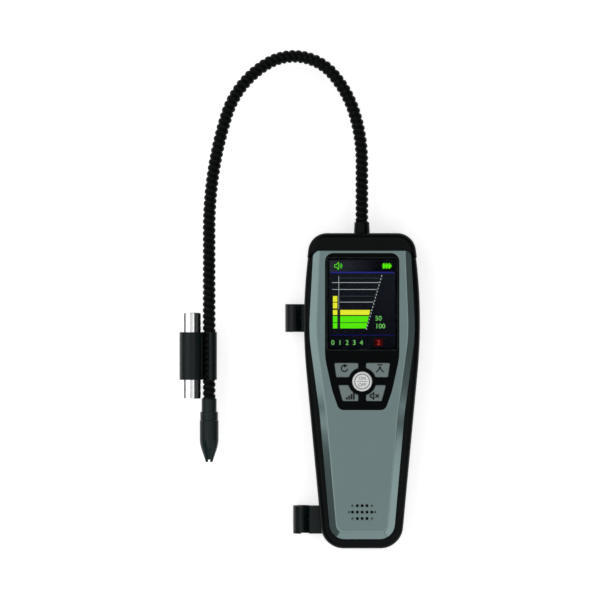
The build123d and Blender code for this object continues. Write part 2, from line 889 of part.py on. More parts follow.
with BuildPart() as board_screws:
    with BuildSketch(level(board_bottom_level - screw_head_height)):
        with Locations(board_boss_places):
            Circle(screw_head_radius)
    extrude(amount=screw_head_height)
    with BuildSketch(level(board_bottom_level)):
        with Locations(board_boss_places):
            Circle(screw_radius)
    extrude(amount=board_screw_length)
finish(board_screws, "board_screws")

with BuildPart() as case_screws:
    with BuildSketch(level(case_screw_recess - case_screw_head_height)):
        with Locations(case_screw_places):
            Circle(case_screw_head_radius)
    extrude(amount=case_screw_head_height)
    with BuildSketch(level(case_screw_recess)):
        with Locations(case_screw_places):
            Circle(screw_radius)
    extrude(amount=case_screw_length)
finish(case_screws, "case_screws")

# Speaker behind the grille, on a foam ring
with BuildPart() as speaker_gasket:
    with BuildSketch(level(bezel_inner_level - speaker_gasket_thickness)):
        with Locations((0, grille_height)):
            Circle(speaker_radius)
            Circle(speaker_radius - speaker_gasket_width, mode=Mode.SUBTRACT)
    extrude(amount=speaker_gasket_thickness)
finish(speaker_gasket, "speaker_gasket")

speaker_level = bezel_inner_level - speaker_gasket_thickness
with BuildPart() as speaker:
    with BuildSketch(level(speaker_level - speaker_depth)):
        with Locations((0, grille_height)):
            Circle(0.62 * speaker_radius)
    extrude(amount=speaker_depth / 2)
    with BuildSketch(level(speaker_level - speaker_depth / 2)):
        with Locations((0, grille_height)):
            Circle(speaker_radius)
    extrude(amount=speaker_depth / 2)
    with BuildSketch(level(speaker_level - 1.0)):
        with Locations((0, grille_height)):
            Circle(0.8 * speaker_radius)
    extrude(amount=1.0, mode=Mode.SUBTRACT)
    with BuildSketch(level(speaker_level - 1.0)):
        with Locations((0, grille_height)):
            Circle(0.35 * speaker_radius)
    extrude(amount=0.7, taper=25)
finish(speaker, "speaker")

# Batteries, side by side, with leaf springs at the bottom and plates at the top
cell_xs = [cell_pitch * (k - (cell_count - 1) / 2) for k in range(cell_count)]
cell_bottom_height = bay_bottom_height + contact_thickness + contact_spring_depth + 0.3
for k, x in enumerate(cell_xs):
    pip_top = cell_bottom_height + cell_length + cell_pip_length
    can_top = cell_bottom_height + cell_length
    with BuildPart() as battery:
        with BuildSketch(turning_plane(x, cell_z)):
            add(turned_profile(
                (0, cell_bottom_height),
                (cell_radius - 0.4, cell_bottom_height),
                (cell_radius, cell_bottom_height + 0.4),
                (cell_radius, can_top - 0.4),
                (cell_radius - 0.4, can_top),
                (cell_pip_radius, can_top),
                (cell_pip_radius, pip_top),
                (0, pip_top),
            ))
        revolve(axis=lengthwise(x, cell_z))
    finish(battery, "battery_" + str(k + 1))

spring_low = cell_z - contact_width / 2
spring_high = cell_z + contact_width / 2
spring_seat = bay_bottom_height
spring_tip = cell_bottom_height - 0.1
with BuildPart() as battery_springs:
    for x in cell_xs:
        side_plane = Plane(
            origin=(x - contact_width / 2, bottom_end, 0), x_dir=(0, 1, 0), z_dir=(1, 0, 0)
        )
        with BuildSketch(side_plane):
            with BuildLine():
                Polyline(
                    (spring_seat, spring_high),
                    (spring_seat, spring_low),
                    (spring_seat + contact_thickness, spring_low),
                    (spring_tip, cell_z),
                    (spring_seat + contact_thickness + 0.8, spring_high - 0.6),
                    (spring_seat + contact_thickness + 0.8, spring_high - 1.4),
                    (spring_tip - contact_thickness, cell_z),
                    (spring_seat + contact_thickness, spring_low + 1.2),
                    (spring_seat + contact_thickness, spring_high),
                    close=True,
                )
            make_face()
        extrude(amount=contact_width)
finish(battery_springs, "battery_springs")

with BuildPart() as battery_contacts:
    with BuildSketch(upright_plane(bay_top_height)):
        with Locations([(x, cell_z) for x in cell_xs]):
            Rectangle(contact_width, contact_width)
    extrude(amount=contact_thickness)
finish(battery_contacts, "battery_contacts")

# Battery door in the back: a flush plate with grip ribs, tabs and an ear for its screw
with BuildPart() as battery_door:
    with BuildSketch(level(door_recess)):
        with Locations((0, bay_bottom_height - door_lap + fit_gap)):
            Rectangle(
                2 * (bay_half_width + door_lap - fit_gap),
                bay_length + 2 * (door_lap - fit_gap),
                align=(Align.CENTER, Align.MIN),
            )
        with Locations((0, bay_top_height)):
            Circle(door_ear_radius - fit_gap)
    extrude(amount=door_thickness)
    with BuildSketch(level(door_recess)):
        with Locations((0, bay_bottom_height + 2 * door_rib_pitch)):
            with GridLocations(1, door_rib_pitch, 1, door_rib_count):
                SlotOverall(bay_half_width, door_rib_pitch / 2)
    extrude(amount=door_thickness / 4, mode=Mode.SUBTRACT)
    with BuildSketch(level(0)):
        with Locations((0, bay_top_height + door_lap + door_screw_inset)):
            Circle(door_screw_head_radius + fit_gap)
    extrude(amount=door_recess + door_screw_head_height, mode=Mode.SUBTRACT)
    with BuildSketch(level(0)):
        with Locations((0, bay_top_height + door_lap + door_screw_inset)):
            Circle(screw_radius + bore_gap)
    extrude(amount=2 * door_thickness, mode=Mode.SUBTRACT)
finish(battery_door, "battery_door")

with BuildPart() as door_screw:
    with BuildSketch(level(door_recess)):
        with Locations((0, bay_top_height + door_lap + door_screw_inset)):
            Circle(door_screw_head_radius)
    extrude(amount=door_screw_head_height)
    with BuildSketch(level(door_recess)):
        with Locations((0, bay_top_height + door_lap + door_screw_inset)):
            Rectangle(2 * door_screw_head_radius, screw_radius)
    extrude(amount=door_screw_head_height / 2, mode=Mode.SUBTRACT)
    with BuildSketch(level(door_recess + door_screw_head_height)):
        with Locations((0, bay_top_height + door_lap + door_screw_inset)):
            Circle(screw_radius)
    extrude(amount=door_screw_length)
finish(door_screw, "door_screw")

# Gas path: inlet filter under the neck, infrared cell, pump and the pipes between them
with BuildPart() as inlet_filter:
    filter_top_height = filter_bottom_height + filter_length
    with BuildSketch(turning_plane(0, neck_axis_height)):
        add(turned_profile(
            (0, filter_bottom_height - barb_length),
            (barb_radius, filter_bottom_height - barb_length),
            (barb_radius, filter_bottom_height),
            (filter_radius, filter_bottom_height + 1),
            (filter_radius, filter_top_height - 1),
            (barb_radius, filter_top_height),
            (barb_radius, filter_top_height + barb_length),
            (0, filter_top_height + barb_length),
        ))
    revolve(axis=lengthwise(0, neck_axis_height))
finish(inlet_filter, "inlet_filter")

upper_port_height = cell_tube_bottom_height + cell_tube_length - cell_port_inset
lower_port_height = cell_tube_bottom_height + cell_port_inset
port_level = cell_tube_z + cell_tube_radius + 1.5
with BuildPart() as ir_cell:
    with BuildSketch(upright_plane(cell_tube_bottom_height)):
        with Locations((cell_tube_x, cell_tube_z)):
            Circle(cell_tube_radius)
    extrude(amount=-cell_tube_length)
    with BuildSketch(level(cell_tube_z)):
        with Locations((cell_tube_x, upper_port_height), (cell_tube_x, lower_port_height)):
            Circle(pipe_radius)
    extrude(amount=port_level - cell_tube_z)
    with BuildSketch(level(cell_tube_z)):
        with Locations((cell_tube_x, upper_port_height), (cell_tube_x, lower_port_height)):
            Circle(pipe_bore)
    extrude(amount=port_level - cell_tube_z, mode=Mode.SUBTRACT)
    with BuildSketch(upright_plane(cell_tube_bottom_height)):
        with Locations((cell_tube_x, cell_tube_z)):
            Circle(cell_tube_bore)
    extrude(amount=-cell_tube_length, mode=Mode.SUBTRACT)
finish(ir_cell, "ir_cell")

cell_tube_top_height = cell_tube_bottom_height + cell_tube_length
with BuildPart() as ir_emitter:
    with BuildSketch(upright_plane(cell_tube_bottom_height)):
        with Locations((cell_tube_x, cell_tube_z)):
            Circle(cell_tube_radius + 0.5)
    extrude(amount=cell_end_length)
    with BuildSketch(upright_plane(cell_tube_bottom_height)):
        with Locations((cell_tube_x, cell_tube_z)):
            Circle(0.6 * cell_tube_bore)
    extrude(amount=-cell_end_length / 2)
finish(ir_emitter, "ir_emitter")

with BuildPart() as ir_sensor:
    with BuildSketch(upright_plane(cell_tube_top_height)):
        with Locations((cell_tube_x, cell_tube_z)):
            Circle(cell_tube_radius + 0.5)
    extrude(amount=-cell_end_length)
    with BuildSketch(upright_plane(cell_tube_top_height)):
        with Locations((cell_tube_x, cell_tube_z)):
            Circle(0.8 * cell_tube_bore)
    extrude(amount=cell_end_length / 3)
finish(ir_sensor, "ir_sensor")

pump_top_height = pump_bottom_height + pump_length
pump_port_height = pump_bottom_height + cell_port_inset
pump_port_level = wall + pump_depth + 1.5
pipe_bend = neck_axis_height - max(port_level, pump_port_level) - 0.2
with BuildPart() as pump_head:
    with BuildSketch(level(wall)):
        with Locations((pump_x, pump_bottom_height)):
            Rectangle(pump_width, pump_length, align=(Align.CENTER, Align.MIN))
    extrude(amount=pump_depth)
    fillet(pump_head.edges().filter_by(Axis.Z), radius=pipe_radius)
    with BuildSketch(level(wall + pump_depth)):
        with Locations((pump_x, pump_port_height)):
            Circle(pipe_radius)
            Circle(pipe_bore, mode=Mode.SUBTRACT)
    extrude(amount=1.5)
finish(pump_head, "pump_head")

with BuildPart() as pump_motor:
    with BuildSketch(upright_plane(pump_top_height)):
        with Locations((pump_x, wall + pump_depth / 2)):
            Circle(motor_radius)
    extrude(amount=-motor_length)
    chamfer(pump_motor.faces().sort_by(Axis.Y)[-1].edges(), length=0.6)
finish(pump_motor, "pump_motor")


def pipe(name, points, bends):
    """A soft pipe along straight runs joined by arcs."""
    with BuildPart() as tube:
        with BuildLine() as route:
            FilletPolyline(*points, radius=bends)
        start = Plane(origin=route.wire() @ 0, z_dir=route.wire() % 0)
        with BuildSketch(start):
            Circle(pipe_radius)
            Circle(pipe_bore, mode=Mode.SUBTRACT)
        sweep(path=route.wire())
    finish(tube, name)


pipe(
    "inlet_pipe",
    [
        (0, bottom_end + filter_bottom_height - 0.2, neck_axis_height),
        (0, bottom_end + upper_port_height, neck_axis_height),
        (cell_tube_x, bottom_end + upper_port_height, neck_axis_height),
        (cell_tube_x, bottom_end + upper_port_height, port_level),
    ],
    [2 * pipe_radius, pipe_bend],
)
pipe(
    "pump_pipe",
    [
        (cell_tube_x, bottom_end + lower_port_height, port_level),
        (cell_tube_x, bottom_end + lower_port_height, neck_axis_height),
        (pump_x, bottom_end + pump_port_height, neck_axis_height),
        (pump_x, bottom_end + pump_port_height, pump_port_level),
    ],
    pipe_bend,
)

# Rubber seal in the joint between the two halves of the case
with BuildPart() as case_seal:
    with BuildSketch(level(rear_depth - seal_depth)):
        add(seal_ring.sketch)
    extrude(amount=seal_depth)
finish(case_seal, "case_seal")

# Gland that clamps the neck to the top cap, and its nut inside the cap
gland_top_height = case_length + cap_step + gland_length
neck_start_height = gland_top_height - neck_seat
with BuildPart() as neck_gland:
    with BuildSketch(turning_plane(0, neck_axis_height)):
        add(turned_profile(
            (neck_bore, case_length - wall - gland_nut_thickness - 1),
            (gland_stem_radius, case_length - wall - gland_nut_thickness - 1),
            (gland_stem_radius, case_length + cap_step),
            (gland_base_radius, case_length + cap_step),
            (gland_base_radius, case_length + cap_step + 1.5),
            (gland_tip_radius, gland_top_height),
            (neck_crest_radius + travel_gap, gland_top_height),
            (neck_crest_radius + travel_gap, neck_start_height),
            (neck_bore, neck_start_height),
        ))
    revolve(axis=lengthwise(0, neck_axis_height))
finish(neck_gland, "neck_gland")

with BuildPart() as gland_nut:
    with BuildSketch(upright_plane(case_length - wall)):
        with Locations((0, neck_axis_height)):
            RegularPolygon(gland_nut_radius, 6, rotation=30)
            Circle(gland_stem_radius + bore_gap, mode=Mode.SUBTRACT)
    extrude(amount=gland_nut_thickness)
finish(gland_nut, "gland_nut")

# Gooseneck: up from the gland, over in tangent arcs and straight down to the probe
neck_start = (0, bottom_end + neck_start_height, neck_axis_height)
neck_bend_start = (0, bottom_end + gland_top_height + neck_rise, neck_axis_height)
with BuildLine() as neck_line:
    Line(neck_start, neck_bend_start)
    heading = 90.0
    arc_start = Vector(*neck_bend_start)
    for arc_radius, turn in neck_arcs:
        tangent = Vector(math.cos(math.radians(heading)), math.sin(math.radians(heading)), 0)
        arc = JernArc(start=arc_start, tangent=tangent, radius=arc_radius, arc_size=turn)
        arc_start = arc @ 1
        heading += turn
    neck_x = arc_start.X
    Line(arc_start, (neck_x, bottom_end + neck_end_height - neck_seat, neck_axis_height))

neck_route = neck_line.wire()
neck_turns = round(neck_route.length / neck_pitch)
with BuildPart() as gooseneck:
    for k in range(2 * neck_turns + 1):
        place = k / (2 * neck_turns)
        ring_plane = Plane(
            origin=neck_route @ place, x_dir=(0, 0, 1), z_dir=neck_route % place
        )
        with BuildSketch(ring_plane):
            Circle(neck_crest_radius if k % 2 else neck_valley_radius)
    loft(ruled=True)
    with BuildSketch(Plane(origin=neck_route @ 0, x_dir=(0, 0, 1), z_dir=(0, 1, 0))):
        Circle(neck_bore)
    sweep(path=neck_route, mode=Mode.SUBTRACT)
finish(gooseneck, "gooseneck")
print("neck:", neck_turns, "turns,", round(neck_route.length, 1), "mm, far leg at x", neck_x)

with BuildLine() as pipe_line:
    pipe_start_height = filter_bottom_height + filter_length + 0.2
    Line((0, bottom_end + pipe_start_height, neck_axis_height), neck_bend_start)
    add(neck_line.edges().filter_by(GeomType.CIRCLE))
    Line(arc_start, (neck_x, bottom_end + neck_end_height - ferrule_length, neck_axis_height))
pipe_route = pipe_line.wire()
with BuildPart() as sample_pipe:
    with BuildSketch(Plane(origin=pipe_route @ 0, x_dir=(0, 0, 1), z_dir=(0, 1, 0))):
        Circle(pipe_radius)
        Circle(pipe_bore, mode=Mode.SUBTRACT)
    sweep(path=pipe_route)
finish(sample_pipe, "sample_pipe")

# Probe: ferrule, body with its spigot, dust plug, sealing ring and the tip cap
ferrule_bottom_height = neck_end_height - ferrule_length
with BuildPart() as neck_ferrule:
    with BuildSketch(turning_plane(neck_x, neck_axis_height)):
        add(turned_profile(
            (neck_crest_radius + travel_gap, neck_end_height),
            (ferrule_radius - ferrule_chamfer / 2, neck_end_height),
            (ferrule_radius, neck_end_height - ferrule_chamfer),
            (ferrule_radius, ferrule_bottom_height),
            (neck_bore, ferrule_bottom_height),
            (neck_bore, neck_end_height - neck_seat),
            (neck_crest_radius + travel_gap, neck_end_height - neck_seat),
        ))
    revolve(axis=lengthwise(neck_x, neck_axis_height))
finish(neck_ferrule, "neck_ferrule")

probe_bottom_height = ferrule_bottom_height - probe_length
spigot_end_height = probe_bottom_height - spigot_length
ring_height = probe_bottom_height - ring_place
with BuildPart() as probe_body:
    with BuildSketch(turning_plane(neck_x, neck_axis_height)):
        add(turned_profile(
            (probe_bore, ferrule_bottom_height),
            (probe_radius - probe_seam, ferrule_bottom_height),
            (probe_radius, ferrule_bottom_height - probe_seam),
            (probe_radius, probe_bottom_height),
            (spigot_radius, probe_bottom_height),
            (spigot_radius, ring_height + ring_section),
            (spigot_radius - ring_section, ring_height + ring_section),
            (spigot_radius - ring_section, ring_height - ring_section),
            (spigot_radius, ring_height - ring_section),
            (spigot_radius, spigot_end_height),
            (spigot_radius - spigot_wall, spigot_end_height),
            (spigot_radius - spigot_wall, spigot_end_height + filter_plug_length),
            (probe_bore, spigot_end_height + filter_plug_length),
        ))
    revolve(axis=lengthwise(neck_x, neck_axis_height))
finish(probe_body, "probe_body")

with BuildPart() as probe_seal:
    with BuildSketch(turning_plane(neck_x, neck_axis_height)):
        add(turned_profile(
            (spigot_radius - ring_section + bore_gap, ring_height - ring_section + bore_gap),
            (spigot_radius + bore_gap, ring_height - ring_section + bore_gap),
            (spigot_radius + bore_gap, ring_height + ring_section - bore_gap),
            (spigot_radius - ring_section + bore_gap, ring_height + ring_section - bore_gap),
        ))
    revolve(axis=lengthwise(neck_x, neck_axis_height))
finish(probe_seal, "probe_seal")

with BuildPart() as probe_filter:
    with BuildSketch(upright_plane(spigot_end_height)):
        with Locations((neck_x, neck_axis_height)):
            Circle(spigot_radius - spigot_wall - bore_gap)
    extrude(amount=-filter_plug_length)
finish(probe_filter, "probe_filter")

tip_top_height = probe_bottom_height - probe_seam
tip_end_height = tip_top_height - tip_length
tip_bore_radius = spigot_radius + 2 * bore_gap + 0.08
with BuildPart() as probe_tip:
    with BuildSketch(turning_plane(neck_x, neck_axis_height)):
        with BuildLine():
            bullet = Spline(
                (tip_radius, tip_top_height - tip_shoulder),
                (tip_flank_radius, tip_end_height + tip_flank_length),
                (tip_end_radius, tip_end_height),
                tangents=((0, -1), (-0.22, -1)),
            )
            Polyline(
                (tip_end_radius, tip_end_height),
                (tip_bore, tip_end_height),
                (tip_bore, spigot_end_height - tip_wall),
                (tip_bore_radius, spigot_end_height - tip_wall + 1),
                (tip_bore_radius, tip_top_height),
                (tip_radius - probe_seam, tip_top_height),
                (tip_radius, tip_top_height - probe_seam),
                (tip_radius, tip_top_height - tip_shoulder),
            )
        make_face()
    revolve(axis=lengthwise(neck_x, neck_axis_height))
    with BuildSketch(upright_plane(tip_end_height)):
        with Locations((neck_x, neck_axis_height)):
            Rectangle(tip_slot_width, 4 * tip_end_radius)
            Rectangle(4 * tip_end_radius, tip_slot_width)
    extrude(amount=-tip_slot_depth, mode=Mode.SUBTRACT)
finish(probe_tip, "probe_tip")

# Clip on the neck: an open ring round the neck, and a sleeve for the inspection light
light_x = neck_x - light_offset
ring_bore = neck_crest_radius + clip_ring_gap
sleeve_bore = light_radius + bore_gap
with BuildPart() as neck_clip:
    with BuildSketch(upright_plane(clip_end_height)):
        with Locations((neck_x, neck_axis_height)):
            Circle(ring_bore + clip_ring_wall)
        with Locations((light_x, neck_axis_height)):
            Circle(sleeve_bore + clip_sleeve_wall)
        with Locations(((neck_x + light_x) / 2, neck_axis_height)):
            Rectangle(light_offset, 2 * clip_spur + clip_mouth)
        with Locations((neck_x, neck_axis_height)):
            Circle(ring_bore, mode=Mode.SUBTRACT)
        with Locations((light_x, neck_axis_height)):
            Circle(sleeve_bore, mode=Mode.SUBTRACT)
        with Locations((neck_x - clip_mouth / 2, neck_axis_height)):
            Rectangle(
                clip_mouth, 3 * ring_bore, align=(Align.CENTER, Align.MIN), mode=Mode.SUBTRACT
            )
    extrude(amount=-clip_length)
finish(neck_clip, "neck_clip")

# Inspection light: a polished barrel with a lens at its lower end and a switch at the top
light_top_height = light_end_height + light_length
lens_height = light_end_height + lens_recess
cell_seat_height = lens_height + lens_thickness + reflector_length + led_base
button_height = light_top_height - tail_button_length
light_bore = light_radius - light_wall
with BuildPart() as light_barrel:
    with BuildSketch(turning_plane(light_x, neck_axis_height)):
        add(turned_profile(
            (light_bore, light_end_height),
            (light_radius - light_edge, light_end_height),
            (light_radius, light_end_height + light_edge),
            (light_radius, light_top_height - light_edge),
            (light_radius - light_edge, light_top_height),
            (tail_button_radius + travel_gap, light_top_height),
            (tail_button_radius + travel_gap, button_height + light_wall),
            (light_bore, button_height + light_wall),
        ))
    revolve(axis=lengthwise(light_x, neck_axis_height))
finish(light_barrel, "light_barrel")

with BuildPart() as light_lens:
    with BuildSketch(upright_plane(lens_height)):
        with Locations((light_x, neck_axis_height)):
            Circle(light_bore - bore_gap)
    extrude(amount=-lens_thickness)
finish(light_lens, "light_lens")

with BuildPart() as light_reflector:
    with BuildSketch(turning_plane(light_x, neck_axis_height)):
        add(turned_profile(
            (light_bore - 0.5, lens_height + lens_thickness),
            (light_bore - bore_gap, lens_height + lens_thickness),
            (light_bore - bore_gap, lens_height + lens_thickness + reflector_length),
            (led_radius + 0.2, lens_height + lens_thickness + reflector_length),
        ))
    revolve(axis=lengthwise(light_x, neck_axis_height))
finish(light_reflector, "light_reflector")

with BuildPart() as light_led:
    with BuildSketch(turning_plane(light_x, neck_axis_height)):
        add(turned_profile(
            (0, cell_seat_height - led_base - 2 * led_radius),
            (0.8 * led_radius, cell_seat_height - led_base - 1.6 * led_radius),
            (led_radius, cell_seat_height - led_base),
            (light_bore - bore_gap, cell_seat_height - led_base),
            (light_bore - bore_gap, cell_seat_height),
            (0, cell_seat_height),
        ))
    revolve(axis=lengthwise(light_x, neck_axis_height))
finish(light_led, "light_led")

with BuildPart() as light_cell:
    with BuildSketch(turning_plane(light_x, neck_axis_height)):
        add(turned_profile(
            (0, cell_seat_height),
            (cell_pip_radius - 0.8, cell_seat_height),
            (cell_pip_radius - 0.8, cell_seat_height + cell_pip_length),
            (light_cell_radius, cell_seat_height + cell_pip_length),
            (light_cell_radius, cell_seat_height + light_cell_length),
            (0, cell_seat_height + light_cell_length),
        ))
    revolve(axis=lengthwise(light_x, neck_axis_height))
finish(light_cell, "light_cell")

# The switch button's flange rests under the barrel's end wall, above its travel
with BuildPart() as light_button:
    with BuildSketch(turning_plane(light_x, neck_axis_height)):
        add(turned_profile(
            (0, button_height - tail_flange),
            (light_bore - travel_gap, button_height - tail_flange),
            (light_bore - travel_gap, button_height + light_wall - 0.1),
            (tail_button_radius, button_height + light_wall - 0.1),
            (tail_button_radius, light_top_height - lens_recess),
            (0, light_top_height - lens_recess),
        ))
    revolve(axis=lengthwise(light_x, neck_axis_height))
finish(light_button, "light_button")

# Side clips: hooks open to the front, with a mid rib, a foot on the case and a peg each
for name, (clip_x, clip_height) in side_clip_places.items():
    hook_radius = side_clip_bore + side_clip_wall
    case_side = -side_x(clip_height)
    with BuildPart() as side_clip:
        with BuildSketch(upright_plane(clip_height + side_clip_length / 2)):
            with Locations((clip_x, side_clip_z)):
                Circle(hook_radius)
            with Locations((clip_x, side_clip_z)):
                Rectangle(
                    case_side - clip_x + 1.5 * wall,
                    side_clip_foot_depth,
                    align=(Align.MIN, Align.CENTER),
                )
            with Locations((clip_x, side_clip_z)):
                Circle(side_clip_bore, mode=Mode.SUBTRACT)
            with Locations((clip_x + hook_radius - side_clip_mouth - side_clip_foot, side_clip_z)):
                Rectangle(
                    side_clip_mouth,
                    2 * hook_radius,
                    align=(Align.MIN, Align.MIN),
                    mode=Mode.SUBTRACT,
                )
        extrude(amount=side_clip_length)
        with BuildSketch(upright_plane(clip_height + side_clip_rib_width / 2)):
            with Locations((clip_x, side_clip_z)):
                Circle(side_clip_bore + 0.2)
                Circle(side_clip_bore - side_clip_rib, mode=Mode.SUBTRACT)
                Rectangle(
                    2 * hook_radius,
                    2 * hook_radius,
                    align=(Align.CENTER, Align.MIN),
                    mode=Mode.SUBTRACT,
                )
        extrude(amount=side_clip_rib_width)
        add(case_form.part, mode=Mode.SUBTRACT)
        with BuildSketch(side_plane_at(clip_x, clip_height)):
            Circle(peg_radius + bore_gap)
        extrude(amount=3 * hook_radius, mode=Mode.SUBTRACT)
    finish(side_clip, name)

# Screws that hold the side clips from inside the case
with BuildPart() as clip_screws:
    for clip_x, clip_height in side_clip_places.values():
        head_x = wall + peg_head_height + 0.2 - case_half_width(clip_height)
        head_plane = Plane(
            origin=(head_x, bottom_end + clip_height, side_clip_z),
            x_dir=(0, 1, 0),
            z_dir=(-1, 0, 0),
        )
        with BuildSketch(head_plane):
            Circle(peg_head_radius)
        extrude(amount=peg_head_height)
        with BuildSketch(head_plane):
            Circle(peg_radius)
        extrude(amount=peg_head_height + peg_length)
finish(clip_screws, "clip_screws")
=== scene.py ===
import json
import math

import bmesh
import bpy
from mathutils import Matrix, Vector


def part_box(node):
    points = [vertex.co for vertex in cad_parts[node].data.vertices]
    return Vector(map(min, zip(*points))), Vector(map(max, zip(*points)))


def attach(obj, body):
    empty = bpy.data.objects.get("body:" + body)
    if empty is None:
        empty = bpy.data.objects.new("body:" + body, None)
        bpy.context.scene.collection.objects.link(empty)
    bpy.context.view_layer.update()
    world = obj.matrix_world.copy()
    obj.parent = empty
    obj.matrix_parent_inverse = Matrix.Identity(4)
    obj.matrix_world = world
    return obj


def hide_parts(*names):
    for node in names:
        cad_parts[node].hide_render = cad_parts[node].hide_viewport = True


# Looks of the handheld gas detector. It lies on its back on a pale floor and the camera looks
# straight down on it. Places are in metres, in the frame of the loaded parts: +X to the right
# of the display, +Y towards the neck, +Z out of the display.
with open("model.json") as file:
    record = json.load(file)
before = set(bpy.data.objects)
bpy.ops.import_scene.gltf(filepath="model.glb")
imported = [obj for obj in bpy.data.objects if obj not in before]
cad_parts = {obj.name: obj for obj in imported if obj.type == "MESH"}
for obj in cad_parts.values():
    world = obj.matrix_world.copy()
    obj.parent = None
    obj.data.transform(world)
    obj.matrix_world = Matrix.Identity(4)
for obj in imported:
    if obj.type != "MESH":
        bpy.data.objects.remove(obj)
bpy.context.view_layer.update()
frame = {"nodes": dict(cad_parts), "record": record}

MM = 0.001
PHOTO_SIZE = 598
MM_PER_PIXEL = 0.655
PHOTO_CENTRE = (-41.3 * MM, 60.35 * MM)

nodes = frame["nodes"]


def top_of(node):
    """The highest level of a CAD node."""
    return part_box(node)[1].z


def middle_of(node):
    """The middle of a CAD node's box."""
    low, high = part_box(node)
    return (low + high) / 2


# Colours and materials


def linear(value):
    """One screen value from 0 to 255 as linear light."""
    share = value / 255
    return share / 12.92 if share <= 0.04045 else ((share + 0.055) / 1.055) ** 2.4


def screen(red, green, blue):
    """A colour as it shows on a screen, as the linear colour that shaders take."""
    return (linear(red), linear(green), linear(blue), 1.0)


def scaled(colour, factor):
    """A colour made lighter or darker."""
    return tuple(min(1.0, part * factor) for part in colour[:3]) + (1.0,)


class Shader:
    """A material with one Principled shader, and helpers that add detail to it."""

    def __init__(self, name, **sockets):
        self.material = bpy.data.materials.new(name)
        self.material.use_nodes = True
        self.tree = self.material.node_tree
        self.principled = self.tree.nodes["Principled BSDF"]
        self.place = self.tree.nodes.new("ShaderNodeTexCoord").outputs["Object"]
        for socket, value in sockets.items():
            self.principled.inputs[socket.replace("_", " ")].default_value = value

    def node(self, kind, **settings):
        made = self.tree.nodes.new(kind)
        for key, value in settings.items():
            setattr(made, key, value)
        return made

    def link(self, source, target):
        self.tree.links.new(source, target)

    def noise(self, size, detail=3.0, stretch=(1, 1, 1)):
        """Noise whose lumps are about size metres across, longer where stretch is over 1."""
        mapping = self.node("ShaderNodeMapping")
        mapping.inputs["Scale"].default_value = [1 / (size * s) for s in stretch]
        self.link(self.place, mapping.inputs["Vector"])
        texture = self.node("ShaderNodeTexNoise")
        texture.inputs["Scale"].default_value = 1.0
        texture.inputs["Detail"].default_value = detail
        self.link(mapping.outputs["Vector"], texture.inputs["Vector"])
        return texture.outputs["Fac"]

    def spread(self, source, low, high, start=0.35, stop=0.65):
        """Source from start to stop, as values from low to high."""
        ramp = self.node("ShaderNodeMapRange")
        for socket, value in zip(("From Min", "From Max", "To Min", "To Max"), (start, stop, low, high)):
            ramp.inputs[socket].default_value = value
        self.link(source, ramp.inputs["Value"])
        return ramp.outputs["Result"]

    def mixed(self, share, first, second):
        """A colour between two, by share."""
        mix = self.node("ShaderNodeMix", data_type="RGBA")
        self.link(share, mix.inputs["Factor"])
        mix.inputs["A"].default_value = first
        mix.inputs["B"].default_value = second
        return mix.outputs["Result"]

    def mottled(self, colour, size, amount):
        """Base colour that drifts a little lighter and darker."""
        share = self.spread(self.noise(size, 4.0), 0.0, 1.0)
        shades = scaled(colour, 1 - amount), scaled(colour, 1 + amount)
        self.link(self.mixed(share, *shades), self.principled.inputs["Base Color"])
        return self

    def rubbed(self, size, low, high):
        """Roughness that drifts between two values, as on handled plastic."""
        self.link(self.spread(self.noise(size, 4.0), low, high), self.principled.inputs["Roughness"])
        return self

    def grained(self, size, depth, stretch=(1, 1, 1)):
        """A fine surface grain, size across and depth deep."""
        bump = self.node("ShaderNodeBump")
        bump.inputs["Strength"].default_value = 1.0
        bump.inputs["Distance"].default_value = depth
        self.link(self.noise(size, 2.0, stretch), bump.inputs["Height"])
        self.link(bump.outputs["Normal"], self.principled.inputs["Normal"])
        return self


def moulded(name, colour, roughness, specular, grain=0.35 * MM, depth=0.004 * MM, mottle=0.06):
    """Moulded plastic or rubber: a drifting tone, a fine spark-eroded grain and rubbed patches."""
    made = Shader(name, Specular_IOR_Level=specular)
    made.mottled(colour, 9 * MM, mottle).grained(grain, depth)
    return made.rubbed(14 * MM, roughness * 0.85, roughness * 1.15).material


def metal(name, colour, roughness, stretch=(1, 1, 1), depth=0.002 * MM):
    """Bare or plated metal, brushed along the axis where stretch is large."""
    made = Shader(name, Metallic=1.0)
    made.mottled(colour, 4 * MM, 0.05).grained(0.12 * MM, depth, stretch)
    return made.rubbed(5 * MM, roughness * 0.7, roughness * 1.3).material


BEZEL_GREY = screen(121, 142, 142)
CASE_BLACK = screen(10, 14, 15)
PANEL_BLACK = screen(5, 7, 8)
KEY_GREY = screen(124, 138, 138)
BUTTON_WHITE = screen(246, 249, 249)
NECK_BLACK = screen(9, 12, 12)
PROBE_BLACK = screen(20, 33, 34)
CLIP_BLACK = screen(14, 24, 25)
# The display's top colour is its glow with a painted reflection added.
DISPLAY_TOP_PAINTED_REFLECTION = screen(22, 25, 31)
DISPLAY_FOOT = screen(5, 6, 11)


def bezel_grey():
    """Metallic lacquer, smooth enough to show where each lamp begins and ends."""
    made = Shader("bezel_grey", Metallic=0.7, Specular_IOR_Level=0.4, Coat_Weight=0.3, Coat_Roughness=0.05)
    made.mottled(BEZEL_GREY, 12 * MM, 0.012).grained(0.25 * MM, 0.0004 * MM)
    return made.rubbed(18 * MM, 0.11, 0.13).material


def clear_window(name, tint, roughness=0.02):
    """Clear plastic with a faint reflection."""
    made = Shader(name, Transmission_Weight=1.0, IOR=1.04, Specular_IOR_Level=0.1)
    made.mottled(tint, 20 * MM, 0.01)
    return made.rubbed(10 * MM, roughness, roughness * 2).material


def battery_can():
    """A plain dark sleeve, its tone drifting a little."""
    made = Shader("cell_can", Metallic=0.6)
    made.mottled(screen(52, 60, 72), 6 * MM, 0.08).grained(0.5 * MM, 0.002 * MM)
    return made.rubbed(6 * MM, 0.28, 0.4).material


